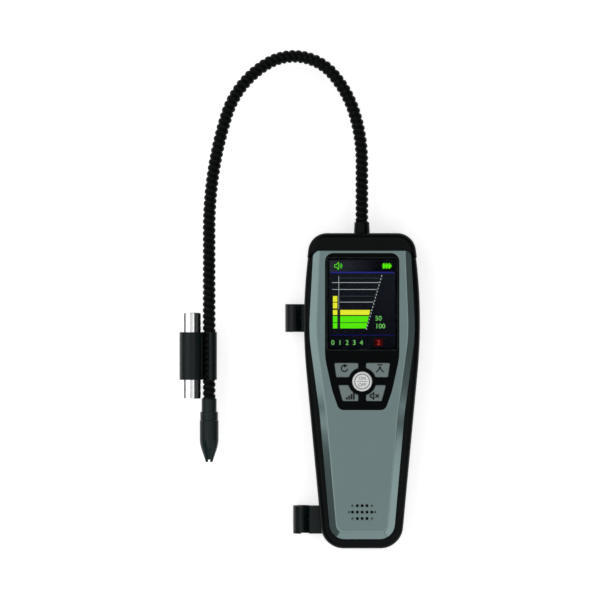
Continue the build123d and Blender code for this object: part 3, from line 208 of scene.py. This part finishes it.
def circuit_board():
    """Solder mask over copper tracks, which show as slightly lighter blocks."""
    made = Shader("board_green", Specular_IOR_Level=0.5)
    tracks = made.node("ShaderNodeTexBrick", offset=0.35, squash=2.0)
    tracks.inputs["Scale"].default_value = 1.0
    tracks.inputs["Brick Width"].default_value = 3.1 * MM
    tracks.inputs["Row Height"].default_value = 1.3 * MM
    tracks.inputs["Mortar Size"].default_value = 0.3 * MM
    tracks.inputs["Color1"].default_value = screen(22, 96, 58)
    tracks.inputs["Color2"].default_value = screen(18, 84, 50)
    tracks.inputs["Mortar"].default_value = screen(12, 62, 38)
    made.link(made.place, tracks.inputs["Vector"])
    made.link(tracks.outputs["Color"], made.principled.inputs["Base Color"])
    return made.grained(0.3 * MM, 0.003 * MM).rubbed(8 * MM, 0.3, 0.45).material


def glowing(name, colour, strength=1.0):
    """Something lit on the display, with the faint raster of its pixels."""
    pixel = 0.18 * MM
    made = Shader(name, Base_Color=(0, 0, 0, 1), Specular_IOR_Level=0.0, Emission_Strength=strength)
    raster = made.node("ShaderNodeTexBrick", offset=0.0)
    raster.inputs["Scale"].default_value = 1.0
    raster.inputs["Brick Width"].default_value = pixel
    raster.inputs["Row Height"].default_value = pixel
    raster.inputs["Mortar Size"].default_value = pixel * 0.06
    raster.inputs["Color1"].default_value = colour
    raster.inputs["Color2"].default_value = scaled(colour, 0.97)
    raster.inputs["Mortar"].default_value = scaled(colour, 0.6)
    made.link(made.place, raster.inputs["Vector"])
    made.link(raster.outputs["Color"], made.principled.inputs["Emission Color"])
    return made.material


def fading(name, axis, start, stop, first, second):
    """A lit area whose colour runs from first to second along one axis."""
    made = Shader(name, Base_Color=(0.002, 0.002, 0.003, 1), Roughness=0.3, Specular_IOR_Level=0.0)
    made.principled.inputs["Emission Strength"].default_value = 1.0
    split = made.node("ShaderNodeSeparateXYZ")
    made.link(made.place, split.inputs["Vector"])
    share = made.spread(split.outputs[axis], 0.0, 1.0, start, stop)
    made.link(made.mixed(share, first, second), made.principled.inputs["Emission Color"])
    return made.material


def display_glow_and_painted_reflection():
    """The lit display's own glow, made lighter towards the top by a painted reflection, which falls off
    towards the foot.
    """
    low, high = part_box("lcd_glass")
    # The foot colour is the display's own glow; the top colour adds a painted reflection.
    return fading("lcd_glass", "Y", low.y, high.y, DISPLAY_FOOT, DISPLAY_TOP_PAINTED_REFLECTION)


SLOT_MATERIALS = {
    "case_black": moulded("case_black", CASE_BLACK, 0.26, 0.07, 0.35 * MM, 0.002 * MM),
    "bezel_grey": bezel_grey(),
    "panel_black": moulded("panel_black", PANEL_BLACK, 0.14, 0.04, 0.6 * MM, 0.0004 * MM),
    "window_clear": clear_window("window_clear", (0.96, 0.97, 0.98, 1)),
    "key_grey": moulded("key_grey", KEY_GREY, 0.5, 0.3, 0.3 * MM, 0.006 * MM, 0.04),
    "button_white": moulded("button_white", BUTTON_WHITE, 0.35, 0.4, 0.4 * MM, 0.002 * MM, 0.01),
    "silicone": moulded("silicone", screen(92, 95, 97), 0.7, 0.3),
    "board_green": circuit_board(),
    "lcd_steel": metal("lcd_steel", screen(196, 198, 200), 0.35, (6, 1, 1)),
    "lcd_glass": display_glow_and_painted_reflection(),
    "lcd_white": moulded("lcd_white", screen(236, 238, 240), 0.6, 0.3),
    "screw_steel": metal("screw_steel", screen(170, 171, 174), 0.32),
    "cell_can": battery_can(),
    "contact_metal": metal("contact_metal", screen(214, 205, 168), 0.28, (1, 5, 1)),
    "pump_plastic": moulded("pump_plastic", screen(44, 44, 47), 0.5, 0.4),
    "motor_steel": metal("motor_steel", screen(184, 187, 190), 0.3, (1, 8, 1)),
    "filter_white": moulded("filter_white", screen(236, 236, 230), 0.55, 0.35),
    "cell_gold": metal("cell_gold", screen(222, 190, 112), 0.24, (1, 6, 1)),
    "tube_clear": moulded("tube_clear", screen(214, 218, 218), 0.35, 0.5),
    "seal_rubber": moulded("seal_rubber", screen(26, 27, 28), 0.75, 0.25),
    "speaker_black": moulded("speaker_black", screen(20, 20, 22), 0.65, 0.3),
    "neck_black": moulded("neck_black", NECK_BLACK, 0.36, 0.07, 0.5 * MM, 0.006 * MM, 0.12),
    "probe_black": moulded("probe_black", PROBE_BLACK, 0.3, 0.22, 0.35 * MM, 0.002 * MM),
    "light_chrome": metal("light_chrome", screen(240, 242, 243), 0.08, (1, 9, 1), 0.0004 * MM),
    "clip_black": moulded("clip_black", CLIP_BLACK, 0.3, 0.22, 0.4 * MM, 0.002 * MM),
    "lens_clear": clear_window("lens_clear", (0.95, 0.97, 0.98, 1), 0.03),
    "led_yellow": moulded("led_yellow", screen(246, 236, 160), 0.4, 0.5, 0.2 * MM, 0.004 * MM),
}
for part in frame["record"]["subparts"]:
    mesh = nodes[part["node"]].data
    mesh.materials.clear()
    mesh.materials.append(SLOT_MATERIALS[part["material_slot"]])


# Helpers that make pieces


def piece(name, mesh, material, body):
    """Puts a finished mesh in the scene and hands it to the body that carries it."""
    made = bpy.data.objects.new(name, mesh)
    bpy.context.scene.collection.objects.link(made)
    made.data.materials.clear()
    made.data.materials.append(material)
    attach(made, body)
    return made


def plates(outlines, level, thickness):
    """Thin plates of the given closed outlines, standing on a level."""
    mesh = bmesh.new()
    for outline in outlines:
        ring = [mesh.verts.new((x, y, level)) for x, y in outline]
        face = mesh.faces.new(ring)
        face.normal_update()
        if face.normal.z < 0:
            face.normal_flip()
        raised = bmesh.ops.extrude_face_region(mesh, geom=[face])
        corners = [v for v in raised["geom"] if isinstance(v, bmesh.types.BMVert)]
        bmesh.ops.translate(mesh, verts=corners, vec=(0, 0, thickness))
    bmesh.ops.recalc_face_normals(mesh, faces=mesh.faces)
    made = bpy.data.meshes.new("plates")
    mesh.to_mesh(made)
    mesh.free()
    return made


def bar(left, bottom, right, top):
    """A rectangle's outline."""
    return [(left, bottom), (right, bottom), (right, top), (left, top)]


def strokes(points, width, closed=False):
    """The outlines of a line of even width through points, one for each run."""
    runs = list(zip(points, points[1:] + points[:1] if closed else points[1:]))
    outlines = []
    for start, end in runs:
        run = Vector((end[0] - start[0], end[1] - start[1]))
        side = Vector((-run.y, run.x)).normalized() * width / 2
        tip = run.normalized() * width / 4
        corners = (
            Vector(start) - side - tip,
            Vector(end) - side + tip,
            Vector(end) + side + tip,
            Vector(start) + side - tip,
        )
        outlines.append([tuple(corner) for corner in corners])
    return outlines


def arc(centre, radius, start, stop, count=24):
    """Points on an arc, with angles in degrees."""
    angles = [math.radians(start + (stop - start) * k / count) for k in range(count + 1)]
    return [(centre[0] + radius * math.cos(a), centre[1] + radius * math.sin(a)) for a in angles]


def lettering(text, centre, height, level, thickness):
    """Plain upright figures or capitals, height tall, as a thin mesh on a level."""
    cap_share = 0.7
    curve = bpy.data.curves.new("lettering", "FONT")
    curve.body = text
    curve.align_x = "CENTER"
    curve.size = height / cap_share
    curve.extrude = thickness / 2
    curve.resolution_u = 4
    carrier = bpy.data.objects.new("lettering", curve)
    carrier.location = (centre[0], centre[1] - height / 2, level + thickness / 2)
    bpy.context.scene.collection.objects.link(carrier)
    bpy.context.view_layer.update()
    made = bpy.data.meshes.new_from_object(carrier)
    made.transform(carrier.matrix_world)
    bpy.data.objects.remove(carrier)
    return made


def joined(meshes):
    """Several meshes as one."""
    whole = bmesh.new()
    for mesh in meshes:
        whole.from_mesh(mesh)
    made = bpy.data.meshes.new("joined")
    whole.to_mesh(made)
    whole.free()
    return made


# Gooseneck: a coated steel tube wound from one strip, so its ridge runs round as a single helix

NECK_RADIUS = 4.25 * MM
NECK_GROOVE = 1.4 * MM
NECK_PITCH = 3.9 * MM
NECK_SEAT = 2.6 * MM
NECK_RISE = 39.4 * MM
NECK_ARCS = ((109.0, 17.5), (72.0, 22.5), (34.1, 80.5), (60.0, 42.0), (250.0, 17.5))
NECK_SIDES = 36
RINGS_PER_TURN = 12


def neck_route():
    """The neck's centreline as runs: (length, radius, heading, start), with radius 0 if straight."""
    gland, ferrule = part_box("neck_gland"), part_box("neck_ferrule")
    level = middle_of("neck_gland").z
    start = Vector((0, gland[1].y - NECK_SEAT, level))
    bend = Vector((0, gland[1].y + NECK_RISE, level))
    runs = [((bend - start).length, 0.0, 90.0, start)]
    place, heading = bend, 90.0
    for radius_mm, turn in NECK_ARCS:
        radius = radius_mm * MM
        runs.append((radius * math.radians(turn), radius, heading, place))
        before, after = math.radians(heading - 90), math.radians(heading - 90 + turn)
        place = place + radius * Vector(
            (math.cos(after) - math.cos(before), math.sin(after) - math.sin(before), 0)
        )
        heading += turn
    runs.append((place.y - (ferrule[1].y - NECK_SEAT), 0.0, heading, place))
    return runs


def neck_at(runs, distance):
    """Centre, heading in degrees at a distance along the neck."""
    for length, radius, heading, start in runs:
        if distance <= length or (length, radius, heading, start) == runs[-1]:
            break
        distance -= length
    if radius == 0:
        along = Vector((math.cos(math.radians(heading)), math.sin(math.radians(heading)), 0))
        return start + along * distance, heading
    turned = math.degrees(distance / radius)
    before, after = math.radians(heading - 90), math.radians(heading - 90 + turned)
    shift = Vector((math.cos(after) - math.cos(before), math.sin(after) - math.sin(before), 0))
    return start + radius * shift, heading + turned


def neck_mesh():
    """The corrugated tube, with the crest of its ridge a quarter turn further on each quarter pitch."""
    runs = neck_route()
    length = sum(run[0] for run in runs)
    turns = round(length / NECK_PITCH)
    rings = turns * RINGS_PER_TURN
    mesh = bmesh.new()
    loops = []
    for k in range(rings + 1):
        centre, heading = neck_at(runs, length * k / rings)
        across = Vector((-math.sin(math.radians(heading)), math.cos(math.radians(heading)), 0))
        loop = []
        for s in range(NECK_SIDES):
            angle = 2 * math.pi * s / NECK_SIDES
            phase = 2 * math.pi * k / RINGS_PER_TURN - angle
            swell = math.sqrt(abs(math.cos(phase / 2)))
            radius = NECK_RADIUS - NECK_GROOVE * (1 - swell)
            offset = across * math.cos(angle) + Vector((0, 0, 1)) * math.sin(angle)
            loop.append(mesh.verts.new(centre + offset * radius))
        loops.append(loop)
    for first, second in zip(loops, loops[1:]):
        for s in range(NECK_SIDES):
            t = (s + 1) % NECK_SIDES
            mesh.faces.new((first[s], first[t], second[t], second[s]))
    mesh.faces.new(loops[0])
    mesh.faces.new(loops[-1])
    bmesh.ops.recalc_face_normals(mesh, faces=mesh.faces)
    for face in mesh.faces:
        face.smooth = True
    made = bpy.data.meshes.new("neck")
    mesh.to_mesh(made)
    mesh.free()
    return made


neck = piece("neck_helix", neck_mesh(), SLOT_MATERIALS["neck_black"], "housing")
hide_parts("gooseneck")


# Grille: painted shade in the blind dimples at the ends of its rows, thin discs a little darker than the
# face

DIMPLE_PLACES = ((6.4, 4.2), (8.5, 0.0), (6.4, -4.2))
DIMPLE_RADIUS = 0.68 * MM
DIMPLE_DEPTH = 0.88 * MM
GRILLE_HEIGHT = 24.2 * MM


def dimple_painted_shade_discs():
    """One thin darker disc on the floor of each dimple, as painted shade."""
    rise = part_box("rear_case")[0].y + GRILLE_HEIGHT
    discs = []
    for x, y in DIMPLE_PLACES:
        for side in (-1, 1):
            discs.append(arc((side * x * MM, rise + y * MM), DIMPLE_RADIUS, 0, 345, 23))
    return plates(discs, top_of("front_bezel") - DIMPLE_DEPTH, 0.02 * MM)


# The dimples' grey is painted shade, a little darker than the face.
dimple_painted_shade = moulded("dimple_painted_shade", screen(58, 70, 71), 0.5, 0.2)
piece("grille_dimple_painted_shade", dimple_painted_shade_discs(), dimple_painted_shade, "housing")


# Display: what a working meter shows, drawn with bars, lines and plain numbers

DISPLAY_CENTRE = (0.0, 57.1 * MM)
INK = 0.03 * MM
GREEN = screen(92, 245, 17)
PALE_GREEN = screen(130, 225, 110)
YELLOW = screen(242, 245, 54)
LINE_GREY = screen(190, 202, 200)
FAINT_GREY = screen(66, 72, 74)
BLUE = screen(38, 44, 140)
DEEP_BLUE = screen(22, 22, 86)
RED = screen(214, 60, 50)
DARK_RED = screen(58, 8, 8)
HEADER = screen(40, 42, 50)
display_level = top_of("lcd_glass")


def on_display(*points):
    """Points given in millimetres from the display's middle, in the frame."""
    return [(DISPLAY_CENTRE[0] + x * MM, DISPLAY_CENTRE[1] + y * MM) for x, y in points]


def display_bar(left, bottom, right, top):
    return on_display((left, bottom), (right, bottom), (right, top), (left, top))


BAR_ROWS = ((5.2, 1.4), (0.9, -2.9), (-3.9, -7.2), (-7.9, -12.0), (-12.4, -16.0))
YELLOW_ROWS = 3
COLUMN = (-19.1, -16.2)
BARS_LEFT = -14.3
BARS_RIGHT_TOP = (5.3, -3.9)
BARS_RIGHT_FOOT = (2.6, -16.0)
SLOPE_TOP = (12.8, 18.3)
SLOPE_FOOT = (2.9, -16.2)
SLOPE_GAP = 0.6
SCALE_LINE = 0.3
SCALE_LINES = ((-19.7, 14.0), (-19.7, 9.5), (-14.6, 1.2))
FAINT_LINES = ((-14.6, 5.1), (-14.6, 17.0))
UPRIGHT = (-15.4, -15.15)
UPRIGHT_TOP = 18.3
UPRIGHT_FAINT = -3.4
UPRIGHT_FOOT = -16.4


def between(y, foot, top):
    """Where a slanted line through foot and top stands at a level of the display."""
    share = (y - foot[1]) / (top[1] - foot[1])
    return foot[0] + share * (top[0] - foot[0])


def slope_x(y):
    return between(y, SLOPE_FOOT, SLOPE_TOP)


def display_rows():
    """Outlines of the lit bars: yellow ones and green ones."""
    yellow, green = [], []
    for row, (top, bottom) in enumerate(BAR_ROWS):
        lit = yellow if row < YELLOW_ROWS else green
        lit.append(display_bar(COLUMN[0], bottom, COLUMN[1], top))
        if row >= YELLOW_ROWS - 1:
            right_foot = between(bottom, BARS_RIGHT_FOOT, BARS_RIGHT_TOP)
            right_top = between(top, BARS_RIGHT_FOOT, BARS_RIGHT_TOP)
            corners = (BARS_LEFT, bottom), (right_foot, bottom), (right_top, top), (BARS_LEFT, top)
            lit.append(on_display(*corners))
    return yellow, green


def scale_lines(places):
    """Thin level lines from a left end to the slanted limit."""
    half = SCALE_LINE / 2
    return [display_bar(left, y - half, slope_x(y) - SLOPE_GAP, y + half) for left, y in places]


def display_lines():
    """The scale lines, the upright line and the dotted limit line."""
    outlines = [display_bar(UPRIGHT[0], UPRIGHT_FAINT, UPRIGHT[1], UPRIGHT_TOP)]
    outlines += scale_lines(SCALE_LINES)
    dots = 17
    dot = 0.5
    for k in range(dots + 1):
        y = SLOPE_FOOT[1] + (SLOPE_TOP[1] - SLOPE_FOOT[1]) * k / dots
        x = slope_x(y)
        outlines.append(display_bar(x - dot / 2, y - dot, x + dot / 2, y + dot))
    return outlines


def speaker_mark(centre, size, line, waves=2):
    """A loudspeaker seen from the side, with its sound."""
    x, y = centre
    horn = [(-0.5, -0.16), (-0.28, -0.16), (0.0, -0.46), (0.0, 0.46), (-0.28, 0.16), (-0.5, 0.16)]
    outlines = strokes([(x + size * a, y + size * b) for a, b in horn], line, closed=True)
    for wave in range(waves):
        reach = size * (0.2 + 0.2 * wave)
        outlines.extend(strokes(arc((x + size * 0.02, y), reach, -48, 48, 8), line))
    return outlines


def battery_mark(centre, width, height):
    """A full cell: three rounded blocks and a pip."""
    x, y = centre
    outlines = []
    block = width / 3.4
    half = block * 0.46
    for k in range(3):
        middle = x - width / 2 + (k + 0.5) * block
        eighths = arc((0.0, 0.0), 1 / math.cos(math.radians(22.5)), 22.5, 337.5, 7)
        outlines.append([(middle + half * a, y + height / 2 * b) for a, b in eighths])
    right = x - width / 2 + 3 * block
    outlines.append(bar(right, y - height / 5, right + block * 0.3, y + height / 5))
    return outlines


yellow_rows, green_rows = display_rows()
header_mark = on_display((-15.4, 24.9))[0]
battery_place = on_display((16.4, 24.9))[0]
green_marks = green_rows + speaker_mark(header_mark, 5.2 * MM, 0.4 * MM)
green_marks += battery_mark(battery_place, 6.2 * MM, 3.7 * MM)
small_figures = 3.1 * MM


def display_piece(name, mesh, colour):
    return piece(name, mesh, glowing(name, colour), "housing")


def display_header():
    """The header's ground, lighter on the left."""
    left, right = on_display((-21.0, 0), (10.0, 0))
    ground = fading("display_header", "X", left[0], right[0], HEADER, DISPLAY_FOOT)
    mesh = plates([display_bar(-21.0, 21.1, 21.4, 28.4)], display_level, INK)
    return piece("display_header", mesh, ground, "housing")


# The window's printed border, on its underside, hides the edge of the display's steel tray
WINDOW_BORDER = 1.45 * MM
window_low, window_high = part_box("display_window")
left, bottom = window_low.x, window_low.y
right, top = window_high.x, window_high.y
border_bars = [
    bar(left, bottom, left + WINDOW_BORDER, top),
    bar(right - WINDOW_BORDER, bottom, right, top),
    bar(left + WINDOW_BORDER, bottom, right - WINDOW_BORDER, bottom + WINDOW_BORDER),
    bar(left + WINDOW_BORDER, top - WINDOW_BORDER, right - WINDOW_BORDER, top),
]
border_level = window_low.z - 2 * INK
border = plates(border_bars, border_level, INK)
piece("window_border", border, SLOT_MATERIALS["panel_black"], "housing")

display_header()
rule = plates([display_bar(-20.6, 20.2, 21.0, 21.0)], display_level, INK)
display_piece("display_rule", rule, BLUE)
foot_rule = plates([display_bar(-20.6, -20.6, 21.0, -20.0)], display_level, INK)
display_piece("display_foot_rule", foot_rule, DEEP_BLUE)
faint_outlines = [display_bar(UPRIGHT[0], UPRIGHT_FOOT, UPRIGHT[1], UPRIGHT_FAINT)]
faint_lines = plates(faint_outlines + scale_lines(FAINT_LINES), display_level, INK)
display_piece("display_faint_lines", faint_lines, FAINT_GREY)
display_piece("display_yellow", plates(yellow_rows, display_level, INK), YELLOW)
display_piece("display_green", plates(green_marks, display_level + INK, INK), GREEN)
display_piece("display_lines", plates(display_lines(), display_level + INK, INK), LINE_GREY)
figures = joined(
    lettering(text, on_display(place)[0], small_figures, display_level, INK)
    for text, place in (("50", (10.7, -9.3)), ("100", (11.9, -14.4)), ("0  1  2  3  4", (-9.8, -25.2)))
)
display_piece("display_figures", figures, PALE_GREEN)
level_ground = plates([display_bar(8.0, -27.6, 13.6, -22.8)], display_level, INK)
display_piece("display_level_ground", level_ground, DARK_RED)
level_figure = lettering("2", on_display((10.8, -25.2))[0], small_figures, display_level + INK, INK)
display_piece("display_level_figure", level_figure, RED)


# Marks printed on the keys: plain pictograms, and ON and OFF on the power button

PRINT = 0.02 * MM
MARK_SIZE = 4.8 * MM
MARK_LINE = 0.8 * MM
PRINT_BLACK = screen(8, 11, 11)
PRINT_GREY = screen(84, 88, 90)
print_black = moulded("print_black", PRINT_BLACK, 0.6, 0.2)
print_grey = moulded("print_grey", PRINT_GREY, 0.6, 0.2)


def reset_mark(centre):
    """An arrow that runs round in a ring."""
    radius = MARK_SIZE * 0.42
    outlines = strokes(arc(centre, radius, 60, 350), MARK_LINE)
    tip = arc(centre, radius, 60, 60, 1)[0]
    head = MARK_SIZE * 0.26
    back = tip[0] - head
    outlines.append([(back, tip[1] + head), (back, tip[1] - head), (tip[0] + head, tip[1])])
    return outlines


def peak_mark(centre):
    """A peak under a held line."""
    x, y = centre
    half = MARK_SIZE / 2
    peak = [(x - half, y - half), (x - half * 0.3, y - half * 0.3), (x, y + half * 0.5)]
    mirrored = [(2 * x - a, b) for a, b in reversed(peak[:-1])]
    outlines = strokes(peak + mirrored, MARK_LINE)
    outlines.append(bar(x - half * 0.7, y + half * 0.8, x + half * 0.7, y + half * 0.8 + MARK_LINE))
    return outlines


def bars_mark(centre):
    """Bars that rise to the right."""
    x, y = centre
    width = MARK_SIZE / 4
    foot = y - MARK_SIZE / 2
    outlines = []
    for k, share in enumerate((0.32, 0.54, 0.76, 0.99)):
        left_side = x + (k - 2) * width * 1.3
        outlines.append(bar(left_side, foot, left_side + width, foot + MARK_SIZE * share))
    return outlines


def mute_mark(centre):
    """A loudspeaker with a cross where its sound would be."""
    x, y = centre
    arm = MARK_SIZE * 0.2
    cross_x = x + MARK_SIZE * 0.46
    outlines = speaker_mark((x, y), MARK_SIZE, MARK_LINE, waves=0)
    outlines.extend(strokes([(cross_x - arm, y - arm), (cross_x + arm, y + arm)], MARK_LINE))
    outlines.extend(strokes([(cross_x - arm, y + arm), (cross_x + arm, y - arm)], MARK_LINE))
    return outlines


KEY_MARKS = (
    ("key_upper_left", reset_mark, (-11.6, 15.0)),
    ("key_upper_right", peak_mark, (11.6, 15.0)),
    ("key_lower_left", bars_mark, (-7.6, -3.0)),
    ("key_lower_right", mute_mark, (7.6, -3.0)),
)
for key, draw, (mark_x, mark_y) in KEY_MARKS:
    outlines = draw((mark_x * MM, mark_y * MM))
    piece(key + "_mark", plates(outlines, top_of(key), PRINT), print_black, key)

button_centre = middle_of("power_button")
button_level = top_of("power_button")
BUTTON_RING = 4.85 * MM
BUTTON_RING_WIDTH = 0.46 * MM
BUTTON_RING_DEPTH = 0.15 * MM
ring_outlines = strokes(arc(button_centre, BUTTON_RING, 0, 360, 60)[:-1], BUTTON_RING_WIDTH, closed=True)
rule_outline = bar(-3.3 * MM, button_centre.y - 0.14 * MM, 3.3 * MM, button_centre.y + 0.14 * MM)
button_print = joined(
    [
        plates(ring_outlines, button_level - BUTTON_RING_DEPTH, PRINT),
        plates([rule_outline], button_level, PRINT),
        lettering("ON", (0, button_centre.y + 2.1 * MM), 2.1 * MM, button_level, PRINT),
        lettering("OFF", (0, button_centre.y - 2.1 * MM), 2.1 * MM, button_level, PRINT),
    ]
)
piece("power_button_mark", button_print, print_grey, "power_button")


# Floor, light and camera

FLOOR_SIZE = 6.0
FLOOR_LIFT = 0.62
FLOOR_GAP = 0.05 * MM


def floor():
    """A pale floor that shows white where it is unshaded and keeps the object's soft shadow."""
    made = Shader("floor", Base_Color=(0.8, 0.8, 0.8, 1), Roughness=0.9, Specular_IOR_Level=0.0)
    made.mottled((0.8, 0.8, 0.8, 1), 0.2, 0.004)
    path = made.node("ShaderNodeLightPath")
    mirrored = made.node("ShaderNodeMath", operation="MAXIMUM")
    made.link(path.outputs["Is Glossy Ray"], mirrored.inputs[0])
    made.link(path.outputs["Is Transmission Ray"], mirrored.inputs[1])
    seen = made.node("ShaderNodeMath", operation="MAXIMUM")
    made.link(path.outputs["Is Camera Ray"], seen.inputs[0])
    made.link(mirrored.outputs["Value"], seen.inputs[1])
    lift = made.spread(seen.outputs["Value"], 0.0, FLOOR_LIFT, 0.0, 1.0)
    made.principled.inputs["Emission Color"].default_value = (1, 1, 1, 1)
    made.link(lift, made.principled.inputs["Emission Strength"])
    bpy.ops.mesh.primitive_plane_add(size=FLOOR_SIZE, location=(0, 0, -FLOOR_GAP))
    plane = bpy.context.object
    plane.name = "floor"
    plane.data.materials.append(made.material)


def softbox(name, location, aim, width, height, radiance):
    """A soft rectangular lamp. Its radiance is the brightness of its face, where white is 1."""
    lamp = bpy.data.lights.new(name, "AREA")
    lamp.shape = "RECTANGLE"
    lamp.size = width
    lamp.size_y = height
    lamp.energy = radiance * math.pi * width * height
    made = bpy.data.objects.new(name, lamp)
    made.location = location
    made.rotation_mode = "QUATERNION"
    made.rotation_quaternion = (Vector(aim) - Vector(location)).to_track_quat("-Z", "Y")
    made.visible_camera = False
    bpy.context.scene.collection.objects.link(made)


ROOM_LIGHT = 0.05
CEILING = 2.2
CEILING_MIDDLE = 0.62
CEILING_REACH = 1.5


def ceiling():
    """A dim lamp overhead, which the flat faces mirror, in a ring of four brighter ones."""
    x, y = PHOTO_CENTRE
    strip = CEILING_REACH - CEILING_MIDDLE
    middle = (CEILING_REACH + CEILING_MIDDLE) / 2
    lamps = (
        ("ceiling_middle", 0.0, 0.0, 2 * CEILING_MIDDLE, 2 * CEILING_MIDDLE, 0.68),
        ("ceiling_left", -middle, 0.0, strip, 2 * CEILING_REACH, 1.3),
        ("ceiling_right", middle, 0.0, strip, 2 * CEILING_REACH, 1.05),
        ("ceiling_top", 0.0, middle, 2 * CEILING_MIDDLE, strip, 1.2),
        ("ceiling_foot", 0.0, -middle, 2 * CEILING_MIDDLE, strip, 1.2),
    )
    for name, aside, along, across, length, radiance in lamps:
        place = (x + aside, y + along, CEILING)
        below = (x + aside, y + along, 0.0)
        softbox(name, place, below, across, length, radiance)


def studio():
    """An even dim room, lamps overhead, and a tall softbox on each side."""
    world = bpy.data.worlds.new("room")
    world.use_nodes = True
    world.node_tree.nodes["Background"].inputs["Color"].default_value = (1, 1, 1, 1)
    world.node_tree.nodes["Background"].inputs["Strength"].default_value = ROOM_LIGHT
    bpy.context.scene.world = world
    ceiling()
    softbox("left_box", (-0.53, 0.509, 0.39), (-0.03, 0.509, 0.03), 1.2, 0.38, 1.2)
    softbox("right_box", (0.53, -0.694, 0.39), (0.03, -0.694, 0.03), 1.2, 0.38, 1.2)
    softbox("foot_box", (0.0, -0.6, 0.39), (0.0, -0.1, 0.03), 0.56, 0.36, 0.9)


def camera():
    """Straight above the photograph's middle, far enough off that nothing is foreshortened."""
    lens = 230.0
    sensor = 36.0
    width = PHOTO_SIZE * MM_PER_PIXEL * MM
    face_level = 0.028
    data = bpy.data.cameras.new("camera")
    data.lens = lens
    data.sensor_width = sensor
    distance = width * lens / sensor
    data.clip_end = distance * 3
    made = bpy.data.objects.new("camera", data)
    made.location = (PHOTO_CENTRE[0], PHOTO_CENTRE[1], face_level + distance)
    bpy.context.scene.collection.objects.link(made)
    bpy.context.scene.camera = made


floor()
studio()
camera()
bpy.context.scene.view_settings.view_transform = "Standard"
